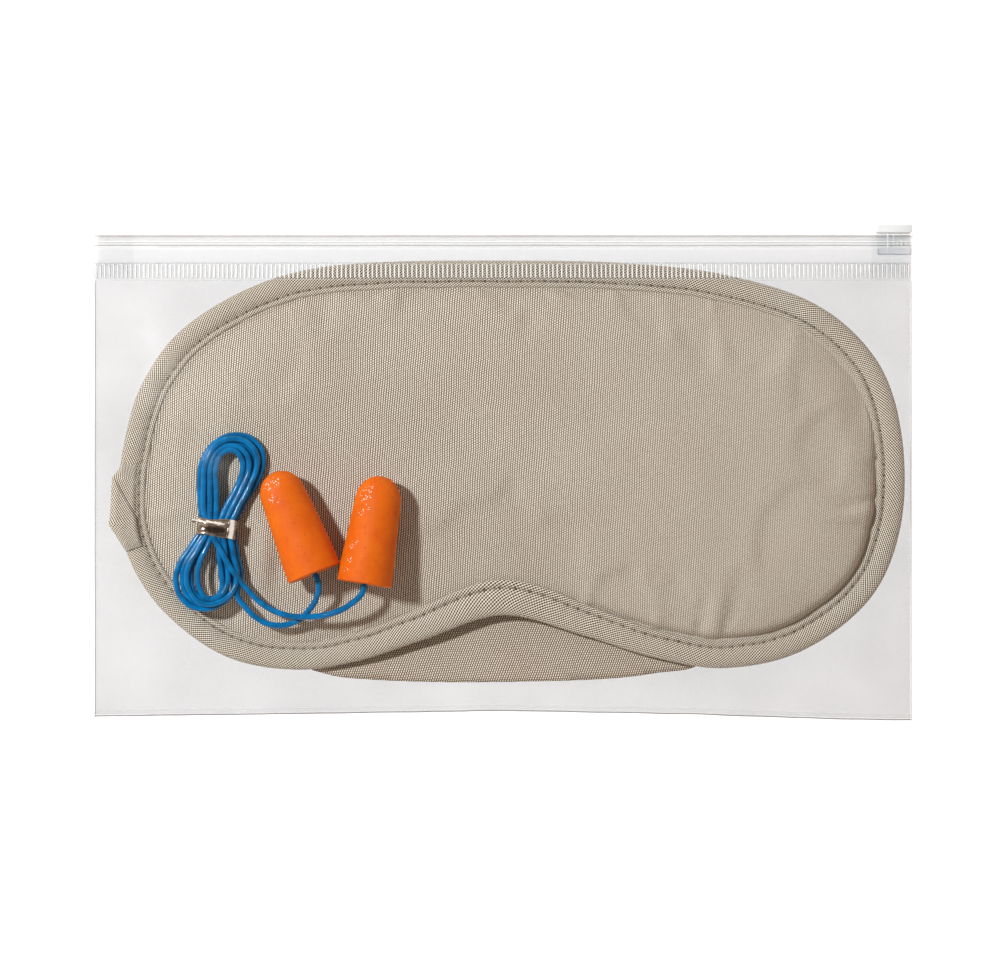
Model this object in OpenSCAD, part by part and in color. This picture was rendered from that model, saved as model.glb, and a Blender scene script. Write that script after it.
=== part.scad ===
// Travel sleep kit: a clear film pouch with a zip and slider, holding a padded
// eye mask and a pair of foam ear plugs on a cord that is folded into a hank.
// Millimetres. The kit lies flat: +Z up, mouth of the pouch at +Y, origin under
// the middle of the pouch at the surface that it lies on.

/* [Pouch] */
// Length of the pouch along the zip
pouch_w = 204.8; // [203:0.1:207]
// Thickness of the clear film
film_t = 0.15; // [0.1:0.05:0.25]
// Width of the welded bottom seam
bottom_seam_w = 1.5; // [1:0.1:1.6]
// Width of each welded side seam
side_seam_w = 0.9; // [0.5:0.1:1]
// Height of the front film over the ear plugs
film_top = 23.9; // [23.6:0.1:26]

/* [Zip] */
// Thickness of one zip profile
track_t = 1.15; // [0.9:0.05:1.2]
// Distance between neighbouring weld ribs
rib_pitch = 1.1; // [0.9:0.1:2]
// Width of one weld rib
rib_w = 0.5; // [0.3:0.05:0.6]
// Length of the slider along the zip
slider_w = 8.5; // [7:0.5:9.5]

/* [Mask] */
// Thickness of the bound edge
binding_t = 2.4; // [1.8:0.1:2.6]
// Width of the binding
binding_w = 6.5; // [5:0.5:7]
// Height of the padded face above the bound edge
crown = 4.2; // [3:0.1:4.3]
// Thickness of the face and lining cloth
cloth_t = 0.4; // [0.2:0.1:0.5]
// Distance between neighbouring stitches
stitch_pitch = 3; // [2:0.5:6]
// Width of the elastic strap
strap_w = 15; // [10:1:20]

/* [Ear plugs and cord] */
// Length of one ear plug
plug_len = 27; // [25:0.5:28]
// Diameter of the plug at its flat end
plug_d = 13.6; // [12:0.2:14]
// Diameter of the plug at its round end
plug_tip_d = 11.4; // [10:0.2:12]
// Diameter of the cord
cord_d = 1.5; // [1:0.1:2]
// Thickness of the folded hank
hank_t = 3.4; // [3:0.1:4]

/* [Hidden] */
eps = 0.01;
side_x = pouch_w / 2;
bottom_y = -61.5;
track_y0 = 56.4;            // lower edge of the zip profile
track_y1 = 59.3;            // upper edge of the zip profile
band_y0 = 48.1;             // lower edge of the ribbed weld band
band_h = 3.8;
panel_y1 = 47.5;            // where the film meets the zip flange
flange_y0 = 47.7;
bend_y = 53.7;              // where the flange turns flat towards the zip profile
flange_t = 0.3;
track_z0 = 1.2;             // underside of the back profile
track_gap = 0.05;
track_mid = track_z0 + track_t;
track_top = track_mid + track_gap + track_t;
edge_z = 7.1;               // height of the front film where it meets the flange
gap = 0.2;                  // play between the pouch's own sides and its moving front
moving_x = 92;              // half-length of the zip that opens
end_x = moving_x + 0.3;

// mask
mask_z = 2.2;               // underside of the mask
bound_top = mask_z + binding_t;
face_top = bound_top + crown;
outline_steps = 4;          // points between two control points
// control points of the mask's outer edge, clockwise from its upper left
MASK_EDGE = [
  [-80, 35.4], [-66, 44.4], [-50, 50], [-30, 52.1], [0, 52.5], [30, 51.9],
  [56, 48.9], [79, 41.2], [94, 27], [100, 8], [99.6, -14], [92, -32],
  [75.2, -45], [56, -49.4], [38, -46.8], [20, -41.2], [0, -36.2], [-20, -42.4],
  [-36, -47.6], [-52, -49.8], [-69.4, -46.4], [-84.8, -35.2], [-94, -20.5], [-96, -4],
  [-93, 14], [-88, 25.5]
];
notch_extra = 2;            // the binding is wider round the nose notch
notch_half = 20;

// ear plugs: middle of the flat end, and the way that the round end points
plug_z = face_top + 0.3 + plug_d / 2;
plug_left_base = [-46.6, -25.5, plug_z];
plug_left_turn = 22;
plug_right_base = [-34.2, -28.1, plug_z];
plug_right_turn = -9;

// cord: hank and leads
hank_z = face_top + 0.6;
hank_waist = [-71, -14.2];
lead_z = hank_z + 1.6;
LEAD_RIGHT = [
    [-64, -29, lead_z], [-60, -33, lead_z], [-54.5, -35.8, 12], [-49, -36.4, 12.8],
    [-42, -35.4, 14], [-37.4, -33, 15.4], [-34.8, -30.4, 16], plug_right_base
];
LEAD_LEFT = [
    [-66, -31, lead_z], [-64, -34, 10.8], [-60.5, -37.2, 10.4], [-56, -38.6, 10.4],
    [-51.5, -37.6, 10.6], [-48, -34.6, 11.8], [-46, -31, 14.2], [-45.7, -28, 15.7],
    plug_left_base
];

// ---- shared shapes ----

// a smooth curve through points: the value between b and c at share t
function smooth(a, b, c, d, t) =
    0.5 * (2 * b + (c - a) * t + (2 * a - 5 * b + 4 * c - d) * t * t
        + (3 * b - a - 3 * c + d) * t * t * t);
function closed_curve(p, steps) = [
    for (i = [0 : len(p) - 1], k = [0 : steps - 1])
        let (n = len(p))
        smooth(p[(i + n - 1) % n], p[i], p[(i + 1) % n], p[(i + 2) % n], k / steps)
];
function open_curve(p, steps) = concat([
    for (i = [0 : len(p) - 2], k = [0 : steps - 1])
        smooth(p[max(i - 1, 0)], p[i], p[i + 1], p[min(i + 2, len(p) - 1)], k / steps)
], [p[len(p) - 1]]);
function unit(v) = v / norm(v);
function inward(pts, i) =
    let (n = len(pts), t = unit(pts[(i + 1) % n] - pts[(i + n - 1) % n]))
    [t[1], -t[0]];
function notch_share(p) = p[1] < 0 ? exp(-pow(p[0] / notch_half, 2)) : 0;
function inset(pts, w) = [
    for (i = [0 : len(pts) - 1])
        pts[i] + inward(pts, i) * w * (1 + notch_share(pts[i]) * notch_extra / binding_w)
];
function at_z(pts, z) = [for (p = pts) [p[0], p[1], z]];
// points moved a share s of the way to the mask's middle line
function to_middle(pts, s) = [
    for (p = pts) p + ([0.6 * p[0], 7] - p) * s
];

EDGE = closed_curve(MASK_EDGE, outline_steps);
SEAM = inset(EDGE, binding_w);

// closed solid through rings of equally many points, with both ends capped
module loft(rings) {
    n = len(rings[0]);
    last = len(rings) - 1;
    polyhedron(
        points = [for (r = rings) for (p = r) p],
        faces = concat(
            [[for (i = [0 : n - 1]) i]],
            [for (k = [0 : last - 1], i = [0 : n - 1]) each [
                [k * n + i, (k + 1) * n + i, (k + 1) * n + (i + 1) % n],
                [k * n + i, (k + 1) * n + (i + 1) % n, k * n + (i + 1) % n]
            ]],
            [[for (i = [0 : n - 1]) last * n + n - 1 - i]]
        ),
        convexity = 6
    );
}

// closed solid through rings of equally many points, the last joined to the first
module loop_loft(rings) {
    n = len(rings[0]);
    m = len(rings);
    polyhedron(
        points = [for (r = rings) for (p = r) p],
        faces = [for (k = [0 : m - 1], i = [0 : n - 1])
            let (a = k * n, b = (k + 1) % m * n, j = (i + 1) % n)
            each [[a + i, b + i, b + j], [a + i, b + j, a + j]]],
        convexity = 6
    );
}

// round tube along a route
module tube(route, d, steps = 2, sides = 8) {
    p = open_curve(route, steps);
    n = len(p) - 1;
    rings = [
        for (i = [0 : n])
            let (
                t = unit(p[min(i + 1, n)] - p[max(i - 1, 0)]),
                side = unit(cross(t, [0, 0, 1])),
                up = cross(side, t)
            )
            [for (k = [0 : sides - 1])
                p[i] + (side * cos(-360 * k / sides) + up * sin(-360 * k / sides)) * d / 2]
    ];
    loft(rings);
}

// flat plate between two corners at a height
module plate(x0, y0, x1, y1, z0, t) {
    translate([x0, y0, z0]) cube([x1 - x0, y1 - y0, t]);
}

// level outlines of the front film, moved in by g: at the seams, at the mask's
// edge, over the mask and over the ear plugs
module film_foot(g) {
    plate(-side_x + 2.1 + g, -59.7 + g, side_x - 1.1 - g, panel_y1 + g, film_t + 0.05 - g, eps);
}
module film_shoulder(g) {
    plate(-side_x + 2.2 + g, -56 + g, side_x - 1.3 - g, 34, edge_z - g, eps);
    plate(-84 + g, -56 + g, 84 - g, panel_y1 + g, edge_z - g, eps);
}
module film_over_mask(g) {
    plate(-88 + g, -40 + g, 86 - g, 34 - g, 12 - g, eps);
}
module film_over_plugs(g) {
    plate(-78 + g, -32 + g, -26 - g, 4 - g, film_top - g, eps);
}

// the space under the front film, with its faces moved in by g; it is open at the mouth
module tent(g) {
    hull() {
        film_foot(g);
        film_shoulder(g);
    }
    hull() {
        film_shoulder(g);
        film_over_mask(g);
    }
    hull() {
        film_over_mask(g);
        film_over_plugs(g);
    }
}

// zip flange from the film's edge to the profile, then the profile itself
module zip_profile(low_z, flat_z, rail_z, rail_t) {
    translate([-moving_x, 0, 0])
        rotate([90, 0, 90])
            linear_extrude(2 * moving_x)
                union() {
                    polygon([
                        [flange_y0, low_z], [bend_y, flat_z], [track_y0 + eps, flat_z],
                        [track_y0 + eps, flat_z + flange_t], [bend_y, flat_z + flange_t],
                        [flange_y0, low_z + flange_t]
                    ]);
                    translate([track_y0, rail_z]) square([track_y1 - track_y0, rail_t]);
                }
}

// comb of weld ribs standing on one thin line
module rib_comb(t) {
    count = floor(2 * moving_x / rib_pitch);
    base_h = 0.3;
    x0 = -count * rib_pitch / 2;
    linear_extrude(t)
        polygon(concat(
            [for (i = [0 : count - 1]) each [
                [x0 + i * rib_pitch, base_h], [x0 + i * rib_pitch, band_h],
                [x0 + i * rib_pitch + rib_w, band_h], [x0 + i * rib_pitch + rib_w, base_h]
            ]],
            [[x0 + (count - 1) * rib_pitch + rib_w, 0], [x0, 0]]
        ));
}

// ---- pouch ----

module pouch_back_panel() {
    color([0.92, 0.94, 0.95, 0.5])
        plate(-side_x, bottom_y, side_x, panel_y1, 0, film_t);
}

module pouch_front_panel() {
    color([0.93, 0.95, 0.96, 0.35])
        difference() {
            tent(0);
            tent(film_t);
        }
}

module bottom_seam() {
    color([0.86, 0.88, 0.9])
        plate(-side_x, bottom_y, side_x, bottom_y + bottom_seam_w, film_t, 2 * film_t);
}

module side_seam(x0) {
    color([0.86, 0.88, 0.9])
        plate(x0, bottom_y + bottom_seam_w, x0 + side_seam_w, panel_y1, film_t, 2 * film_t);
}
module side_seam_left() { side_seam(-side_x); }
module side_seam_right() { side_seam(side_x - side_seam_w); }

module zip_track_back() {
    color([0.88, 0.89, 0.9]) zip_profile(0, track_z0, track_z0, track_t);
}

module zip_track_front() {
    color([0.9, 0.91, 0.92])
        zip_profile(edge_z - flange_t, track_top - flange_t, track_mid + track_gap, track_t);
}

module weld_ribs_back() {
    slope = atan(track_z0 / (bend_y - flange_y0));
    color([0.93, 0.93, 0.93])
        translate([0, flange_y0, flange_t + 0.02])
            rotate([slope, 0, 0])
                translate([0, band_y0 - flange_y0, 0]) rib_comb(0.2);
}

module weld_ribs_front() {
    slope = atan((track_top - edge_z) / (bend_y - flange_y0));
    color([0.95, 0.95, 0.95])
        translate([0, flange_y0, edge_z + 0.02])
            rotate([slope, 0, 0])
                translate([0, band_y0 - flange_y0, 0]) rib_comb(0.2);
}

// fused end of the zip, where the slider parks
module zip_end(x0) {
    fused_z = track_z0 + 1;
    color([0.9, 0.9, 0.91]) {
        plate(x0, flange_y0, x0 + side_x - end_x, track_y0, fused_z, flange_t);
        plate(x0, track_y0, x0 + side_x - end_x, track_y1, track_z0, track_top - track_z0);
    }
}
module zip_end_left() { zip_end(-side_x); }
module zip_end_right() { zip_end(end_x); }

module zip_slider() {
    y0 = 54;
    y1 = -bottom_y;
    height = 4.8;
    corner = 2.5;
    channel_z = track_z0 - gap;
    color([0.96, 0.95, 0.94])
        difference() {
            union() {
                translate([side_x - slider_w, y0, 0]) cube([slider_w, y1 - y0 - corner, height]);
                translate([side_x - slider_w + corner, y1 - corner - eps, 0])
                    cube([slider_w - corner, corner + eps, height]);
                translate([side_x - slider_w + corner, y1 - corner, 0])
                    cylinder(r = corner, h = height, $fn = 48);
                for (i = [1 : 5])
                    translate([side_x - slider_w + 1.4 * i, y0 + 0.4, height - eps])
                        cube([0.6, 4.4, 0.25]);
            }
            translate([side_x - slider_w - 1, y0 - 1, channel_z])
                cube([slider_w + 2, track_y1 + gap - y0 + 1, track_top + gap - channel_z]);
        }
}

// ---- mask ----

module mask_lining() {
    color([0.68, 0.62, 0.55])
        translate([0, 0, mask_z + 0.1])
            linear_extrude(cloth_t) polygon(SEAM);
}

// rings of the crowned pad, from its rim to near its middle line
crown_shares = [0.12, 0.3, 0.55, 0.85];
function crown_at(s) = crown * pow(1 - pow(1 - s, 3), 0.8);
function crown_rings(base, z) = [
    for (s = crown_shares) at_z(to_middle(base, s), z + crown_at(s))
];

module mask_pad() {
    rim = inset(EDGE, binding_w + 0.5);
    z0 = mask_z + 0.1 + cloth_t;
    color([0.9, 0.88, 0.8])
        loft(concat(
            [at_z(rim, z0), at_z(rim, bound_top - cloth_t)],
            crown_rings(rim, bound_top - cloth_t - 0.1)
        ));
}

module mask_face() {
    rim = inset(EDGE, binding_w + 0.1);
    inner = inset(EDGE, binding_w + 0.5);
    under = crown_rings(inner, bound_top - cloth_t);
    color([0.75, 0.7, 0.63])
        loft(concat(
            [for (i = [len(under) - 1 : -1 : 0]) under[i]],
            [at_z(inner, bound_top - cloth_t + 0.05), at_z(rim, bound_top - cloth_t)],
            [at_z(rim, bound_top)],
            crown_rings(rim, bound_top)
        ));
}

// rounded tape folded round the mask's edge
module mask_binding() {
    round = 2.4;
    mid = mask_z + binding_t / 2;
    color([0.69, 0.63, 0.56])
        loop_loft(concat(
            [at_z(SEAM, mask_z)],
            [for (a = [-90 : 36 : 90])
                at_z(inset(EDGE, round * (1 - cos(a))), mid + sin(a) * binding_t / 2)],
            [at_z(SEAM, bound_top)]
        ));
}

// folded ends of the tape at the wearer's side, with the strap's end tucked in
module binding_fold() {
    color([0.66, 0.6, 0.53])
        difference() {
            translate([0, 0, mask_z + 0.3])
                linear_extrude(binding_t + 0.2)
                    polygon([
                        [-95, 1.5], [-97.2, -1], [-97.4, -4], [-98.4, -13], [-95, -18],
                        [-91, -14.5], [-91.5, -4]
                    ]);
            translate([0, 0, mask_z - 1]) linear_extrude(binding_t + 1 + 0.02) polygon(EDGE);
        }
}

module mask_stitching() {
    line = closed_curve(inset(EDGE, 4.4), 1);
    steps = [for (i = [0 : len(line) - 1]) norm(line[(i + 1) % len(line)] - line[i])];
    color([0.45, 0.4, 0.34])
        for (i = [0 : len(line) - 1]) {
            a = line[i];
            b = line[(i + 1) % len(line)];
            count = max(1, round(steps[i] / stitch_pitch));
            for (k = [0 : count - 1])
                translate(concat(a + (b - a) * (k + 0.2) / count, [bound_top + 0.01]))
                    rotate([0, 0, atan2(b[1] - a[1], b[0] - a[0])])
                        translate([0, -0.2, 0]) cube([0.6 * steps[i] / count, 0.4, 0.25]);
        }
}

module nose_flap() {
    root_y = -32;
    slope = 0.055;
    color([0.68, 0.61, 0.54])
        translate([0, 0, mask_z - 0.6 - slope * root_y])
            multmatrix([[1, 0, 0, 0], [0, 1, 0, 0], [0, slope, 1, 0], [0, 0, 0, 1]])
                linear_extrude(0.5)
                    polygon([
                        [-46, root_y], [-50, -47], [-44, -51], [-34, -52.3], [-16, -53],
                        [4, -52.9], [24, -52.3], [38, -50.8], [50, -47.5], [46, root_y]
                    ]);
}

// elastic folded in three behind the mask, from one side to the other
module strap() {
    t = 0.5;
    layers = [0.3, 0.88, 1.46];
    fold_x = 46;
    right_x = 95;
    color([0.62, 0.56, 0.5])
        translate([0, strap_w / 2 - 6, 0])
            rotate([90, 0, 0])
                linear_extrude(strap_w)
                    union() {
                        translate([-94, layers[2]]) square([94 + fold_x, t]);
                        translate([fold_x - t, layers[1]]) square([t, layers[2] + t - layers[1]]);
                        translate([-fold_x, layers[1]]) square([2 * fold_x, t]);
                        translate([-fold_x, layers[0]]) square([t, layers[1] + t - layers[0]]);
                        translate([-fold_x, layers[0]]) square([fold_x + 80, t]);
                        polygon([
                            [80 - eps, layers[0]], [88, layers[2]], [right_x, layers[2]],
                            [right_x, layers[2] + t], [88, layers[2] + t],
                            [80 - eps, layers[0] + t]
                        ]);
                    }
}

// dense stitching that holds one end of the strap in the binding
module strap_tack(x) {
    color([0.5, 0.45, 0.4])
        plate(x, -strap_w / 2 - 6 + 2, x + 1.2, strap_w / 2 - 6 - 2, 1.46 + 0.5, 0.2);
}
module strap_tack_left() { strap_tack(-93.6); }
module strap_tack_right() { strap_tack(93); }

// ---- ear plugs and cord ----

module earplug(base, turn) {
    r0 = plug_d / 2;
    r1 = plug_tip_d / 2;
    color([0.93, 0.42, 0.12])
        translate(base)
            rotate([-90, 0, turn])
                rotate_extrude($fn = 64)
                    polygon(concat(
                        [[0, 0], [r0 - 0.3, 0], [r0, 0.3], [r0 - 0.1, 4]],
                        [for (a = [0 : 10 : 90]) [r1 * cos(a), plug_len - r1 + r1 * sin(a)]]
                    ));
}
module earplug_left() { earplug(plug_left_base, plug_left_turn); }
module earplug_right() { earplug(plug_right_base, plug_right_turn); }

// outer shape of the folded cord: a loop above the tie and a loop below it
module cord_hank() {
    half_waist = 4;
    color([0.05, 0.4, 0.65])
        translate([0, 0, hank_z])
            linear_extrude(hank_t)
                union() {
                    hull() {
                        translate([-67.4, 0.9]) circle(r = 8.8, $fn = 32);
                        translate(hank_waist) circle(r = half_waist, $fn = 32);
                    }
                    hull() {
                        translate([-72.6, -27.2]) circle(r = 8.2, $fn = 32);
                        translate([-74.6, -26.2]) circle(r = 7.8, $fn = 32);
                        translate(hank_waist) circle(r = half_waist, $fn = 32);
                    }
                }
}

module cord_lead_left() { color([0.05, 0.4, 0.65]) tube(LEAD_LEFT, cord_d); }
module cord_lead_right() { color([0.05, 0.4, 0.65]) tube(LEAD_RIGHT, cord_d); }

// foil strip wrapped once round the hank, with its end lapped over
module twist_tie() {
    w = 4.3;
    t = 0.3;
    half = 5;
    color([0.6, 0.56, 0.54])
        translate(concat(hank_waist, [hank_z]))
            rotate([0, 0, -8]) {
                difference() {
                    translate([-half, -w / 2, -t]) cube([2 * half, w, hank_t + 2 * t]);
                    translate([-half + t, -w, -eps]) cube([2 * half - 2 * t, 2 * w, hank_t + 2 * eps]);
                }
                translate([1.8, -w / 2 - 0.4, hank_t + t]) cube([3.6, w, t]);
            }
}

pouch_back_panel();
pouch_front_panel();
bottom_seam();
side_seam_left();
side_seam_right();
zip_track_back();
zip_track_front();
weld_ribs_back();
weld_ribs_front();
zip_end_left();
zip_end_right();
zip_slider();
mask_lining();
mask_pad();
mask_face();
mask_binding();
binding_fold();
mask_stitching();
nose_flap();
strap();
strap_tack_left();
strap_tack_right();
earplug_left();
earplug_right();
cord_hank();
cord_lead_left();
cord_lead_right();
twist_tie();
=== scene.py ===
"""Looks of the travel sleep kit: a clear slider pouch that holds a padded eye mask and
a pair of corded foam ear plugs. Every piece is built in millimetres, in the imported
model's own frame, and scaled to metres when its mesh is made."""

import math

import bmesh
import bpy
import numpy as np
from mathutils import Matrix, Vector, geometry, noise


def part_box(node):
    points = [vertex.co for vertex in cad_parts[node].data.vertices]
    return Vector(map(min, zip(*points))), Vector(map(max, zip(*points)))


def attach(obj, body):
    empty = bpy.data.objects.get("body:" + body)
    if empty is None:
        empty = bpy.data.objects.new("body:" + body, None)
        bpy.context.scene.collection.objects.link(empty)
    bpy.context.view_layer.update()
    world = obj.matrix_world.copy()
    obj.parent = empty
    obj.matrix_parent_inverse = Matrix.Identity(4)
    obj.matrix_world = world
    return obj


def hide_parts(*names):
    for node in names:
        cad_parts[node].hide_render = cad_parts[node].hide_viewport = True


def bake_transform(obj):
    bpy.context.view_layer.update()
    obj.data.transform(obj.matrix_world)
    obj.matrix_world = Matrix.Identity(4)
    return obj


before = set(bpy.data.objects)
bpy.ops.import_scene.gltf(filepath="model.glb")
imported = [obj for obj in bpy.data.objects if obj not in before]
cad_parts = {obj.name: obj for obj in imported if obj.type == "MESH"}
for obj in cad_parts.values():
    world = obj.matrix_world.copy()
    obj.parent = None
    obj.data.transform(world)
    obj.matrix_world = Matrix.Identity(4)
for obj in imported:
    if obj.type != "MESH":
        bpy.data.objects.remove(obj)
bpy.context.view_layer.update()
MM = 0.001

# ---------------------------------------------------------------- sizes, in millimetres


def cad(node):
    """Lowest and highest corner of a CAD node, in millimetres."""
    low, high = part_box(node)
    return np.array(low) / MM, np.array(high) / MM


SLIDER_LOW, SLIDER_HIGH = cad("zip_slider")
BINDING_LOW, BINDING_HIGH = cad("mask_binding")
FACE_LOW, FACE_HIGH = cad("mask_face")
LINING_LOW, LINING_HIGH = cad("mask_lining")
FLAP_LOW, FLAP_HIGH = cad("nose_flap")
STRAP_LOW, STRAP_HIGH = cad("strap")
PLUG_LOW, PLUG_HIGH = cad("earplug_left")
TIE_LOW, TIE_HIGH = cad("twist_tie")

SIDE_X = cad("pouch_back_panel")[1][0]
TRACK_Y0 = 56.4  # lower edge of the zip profile
FLANGE_Y0 = cad("zip_track_front")[0][1]
BAND_Y0 = 48.1  # lower edge of the ribbed weld band
BAND_H = 3.8
RIB_PITCH = 1.1
BIND_W = 6.5
BIND_MID = (BINDING_LOW[2] + BINDING_HIGH[2]) / 2
BIND_TOP = BINDING_HIGH[2]
FACE_TOP = FACE_HIGH[2]
STITCH_PITCH = 3.0
NOTCH_LIFT = 3.0  # how far the edge stands up over the nose flap

# control points of the mask's outer edge, clockwise from its upper left
MASK_EDGE = [
    (-80, 35.4), (-66, 44.4), (-50, 50), (-30, 52.1), (0, 52.5), (30, 51.9), (56, 48.9),
    (79, 41.2), (94, 27), (100, 8), (99.6, -14), (92, -32), (75.2, -45), (56, -49.4),
    (38, -46.8), (20, -41.2), (0, -36.2), (-20, -42.4), (-36, -47.6), (-52, -49.8), (-69.4, -46.4),
    (-84.8, -35.2), (-94, -20.5), (-96, -4), (-93, 14), (-88, 25.5),
]
NOTCH_EXTRA = 2.0  # how much wider the binding is at the nose notch, and over what half width
NOTCH_HALF = 20.0
FLAP_EDGE = [
    (-46, -32), (-50, -47), (-44, -51), (-34, -52.3), (-16, -53), (4, -52.9),
    (24, -52.3), (38, -50.8), (50, -47.5), (46, -32), (18, -28.8), (-18, -28.8),
]

# ear plugs: middle of the flat end, and the turn of the round end from +Y
PLUG_Z = (PLUG_LOW[2] + PLUG_HIGH[2]) / 2
PLUG_R = (PLUG_HIGH[2] - PLUG_LOW[2]) / 2
PLUG_TIP_R = 5.7
PLUG_LEN = 27.0
PLUG_TILT = math.radians(3)  # a tapered plug lies with its round end a little lower
PLUG_LEFT = (-46.6, -25.5, PLUG_Z, 22.0)
PLUG_RIGHT = (-34.2, -28.1, PLUG_Z, -9.0)

# cord: leads as in the CAD, and the loops of the hank between them
CORD_D = 1.5
CORD_R = CORD_D / 2
HANK_Z = cad("cord_hank")[0][2]
LEAD_Z = HANK_Z + 1.6
LEAD_RIGHT = [
    (-64, -29, LEAD_Z), (-60, -33, LEAD_Z), (-54.5, -35.8, 12), (-49, -36.4, 12.8),
    (-42, -35.4, 14), (-37.4, -33, 15.4), (-34.8, -30.4, 16), PLUG_RIGHT[:3],
]
LEAD_LEFT = [
    (-66, -31, LEAD_Z), (-64, -34, 10.8), (-60.5, -37.2, 10.4), (-56, -38.6, 10.4),
    (-51.5, -37.6, 10.6), (-48, -34.6, 11.8), (-46, -31, 14.2), (-45.7, -28, 15.7),
    PLUG_LEFT[:3],
]

# ---------------------------------------------------------------- curves and meshes


def smooth(a, b, c, d, t):
    """Catmull-Rom value between b and c at share t."""
    return 0.5 * (
        2 * b + (c - a) * t + (2 * a - 5 * b + 4 * c - d) * t**2 + (3 * b - a - 3 * c + d) * t**3
    )


def curve(points, steps, closed=False):
    """A smooth line through points, with some steps from each one to the next."""
    p = np.array(points, float)
    last = len(p) - 1
    made = [
        smooth(p[i - 1], p[i], p[(i + 1) % len(p)], p[(i + 2) % len(p)], k / steps) if closed
        else smooth(p[max(i - 1, 0)], p[i], p[i + 1], p[min(i + 2, last)], k / steps)
        for i in range(len(p) if closed else last)
        for k in range(steps)
    ]
    return np.array(made if closed else made + [p[last]])


def run_along(points):
    """Distance of each point of a line from its first one."""
    return np.concatenate([[0], np.cumsum(np.linalg.norm(np.diff(points, axis=0), axis=1))])


def directions(points):
    """Unit vectors along a line."""
    along = np.gradient(points, axis=0)
    return along / np.linalg.norm(along, axis=1)[:, None]


def unit(angle):
    """Cosine and sine of an angle."""
    return math.cos(angle), math.sin(angle)


def bell(x, width):
    """1 where x is 0, falling away on both sides of it."""
    return np.exp(-((x / width) ** 2))


def clamp(x):
    """x kept between 0 and 1."""
    return np.clip(x, 0, 1)


def rough(x, y, z):
    """Smooth noise from -1 to 1."""
    return noise.noise(Vector((x, y, z)))


def even(points, count):
    """A closed outline with its points spaced evenly."""
    p = np.vstack([points, points[:1]])
    run = run_along(p)
    at = np.linspace(0, run[-1], count, endpoint=False)
    return np.stack([np.interp(at, run, p[:, k]) for k in range(p.shape[1])], axis=1), run[-1]


def inward(points):
    """Unit vectors that point into a clockwise outline."""
    t = np.roll(points, -1, axis=0) - np.roll(points, 1, axis=0)
    t /= np.linalg.norm(t, axis=1)[:, None]
    return np.stack([t[:, 1], -t[:, 0]], axis=1)


def lifts(points):
    """How far the mask's edge stands up at the nose notch, most on its left."""
    x = points[:, 0] + 8
    return np.where(points[:, 1] < 0, NOTCH_LIFT * bell(x, np.where(x < 0, 25.0, 34.0)), 0)


def widths(points):
    """How much wider the binding is than its normal width, at each point."""
    notch = np.where(points[:, 1] < 0, bell(points[:, 0], NOTCH_HALF), 0)
    return 1 + notch * NOTCH_EXTRA / BIND_W


def inset(points, w):
    """An outline moved in by a share of the binding's width."""
    return points + inward(points) * (w * widths(points))[:, None]


def put(thing, **values):
    """Sets several properties of a Blender thing."""
    for key, value in values.items():
        setattr(thing, key, value)


def link(name, data):
    """A new object in the scene."""
    obj = bpy.data.objects.new(name, data)
    bpy.context.scene.collection.objects.link(obj)
    return obj


def make(name, verts, faces, uvs=None, material=None, closed=False, smooth_faces=True):
    """A mesh object from points in millimetres. A closed one has its faces turned outwards."""
    mesh = bpy.data.meshes.new(name)
    mesh.from_pydata([tuple(v) for v in np.asarray(verts) * MM], [], [tuple(f) for f in faces])
    if uvs is not None:
        layer = mesh.uv_layers.new(name="UVMap")
        layer.data.foreach_set("uv", np.asarray(uvs, np.float32).ravel())
    mesh.validate()
    mesh.update()
    if material:
        mesh.materials.append(material)
    if smooth_faces:
        mesh.shade_smooth()
    if closed:
        bm = bmesh.new()
        bm.from_mesh(mesh)
        bmesh.ops.recalc_face_normals(bm, faces=bm.faces)
        bm.to_mesh(mesh)
        bm.free()
    return link(name, mesh)


def sheet(rows, uv=None, wrap=False, loop=False):
    """Verts, faces and corner UVs of a grid of points. With wrap the last column joins the
    first, with loop the last row does; uv then has one column or row more than the grid."""
    rows = np.asarray(rows, float)
    n_rows, n_cols = rows.shape[:2]
    faces, corners = [], []
    for r in range(n_rows if loop else n_rows - 1):
        s = (r + 1) % n_rows
        for c in range(n_cols if wrap else n_cols - 1):
            d = (c + 1) % n_cols
            faces.append([r * n_cols + c, r * n_cols + d, s * n_cols + d, s * n_cols + c])
            if uv is not None:
                corners += [uv[r][c], uv[r][c + 1], uv[r + 1][c + 1], uv[r + 1][c]]
    return rows.reshape(-1, 3), faces, (corners if uv is not None else None)


def sheet_object(name, rows, uv, material, closed=False, wrap=False):
    """An object made of a grid of points. A closed one joins its last row to its first."""
    return make(name, *sheet(rows, uv, wrap, closed), material, closed)


def joined(parts):
    """Several (verts, faces) as one."""
    verts, faces, at = [], [], 0
    for v, f in parts:
        verts.append(np.asarray(v, float))
        faces += [[i + at for i in face] for face in f]
        at += len(v)
    return np.vstack(verts), faces


def edge_distance(points, outline):
    """Distance of each point from a closed outline."""
    best = np.full(len(points), 1e9)
    for p, q in zip(outline, np.roll(outline, -1, axis=0)):
        d = q - p
        t = np.clip(((points - p) @ d) / max(d @ d, 1e-9), 0, 1)
        best = np.minimum(best, np.linalg.norm(points - p - t[:, None] * d, axis=1))
    return best


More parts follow.
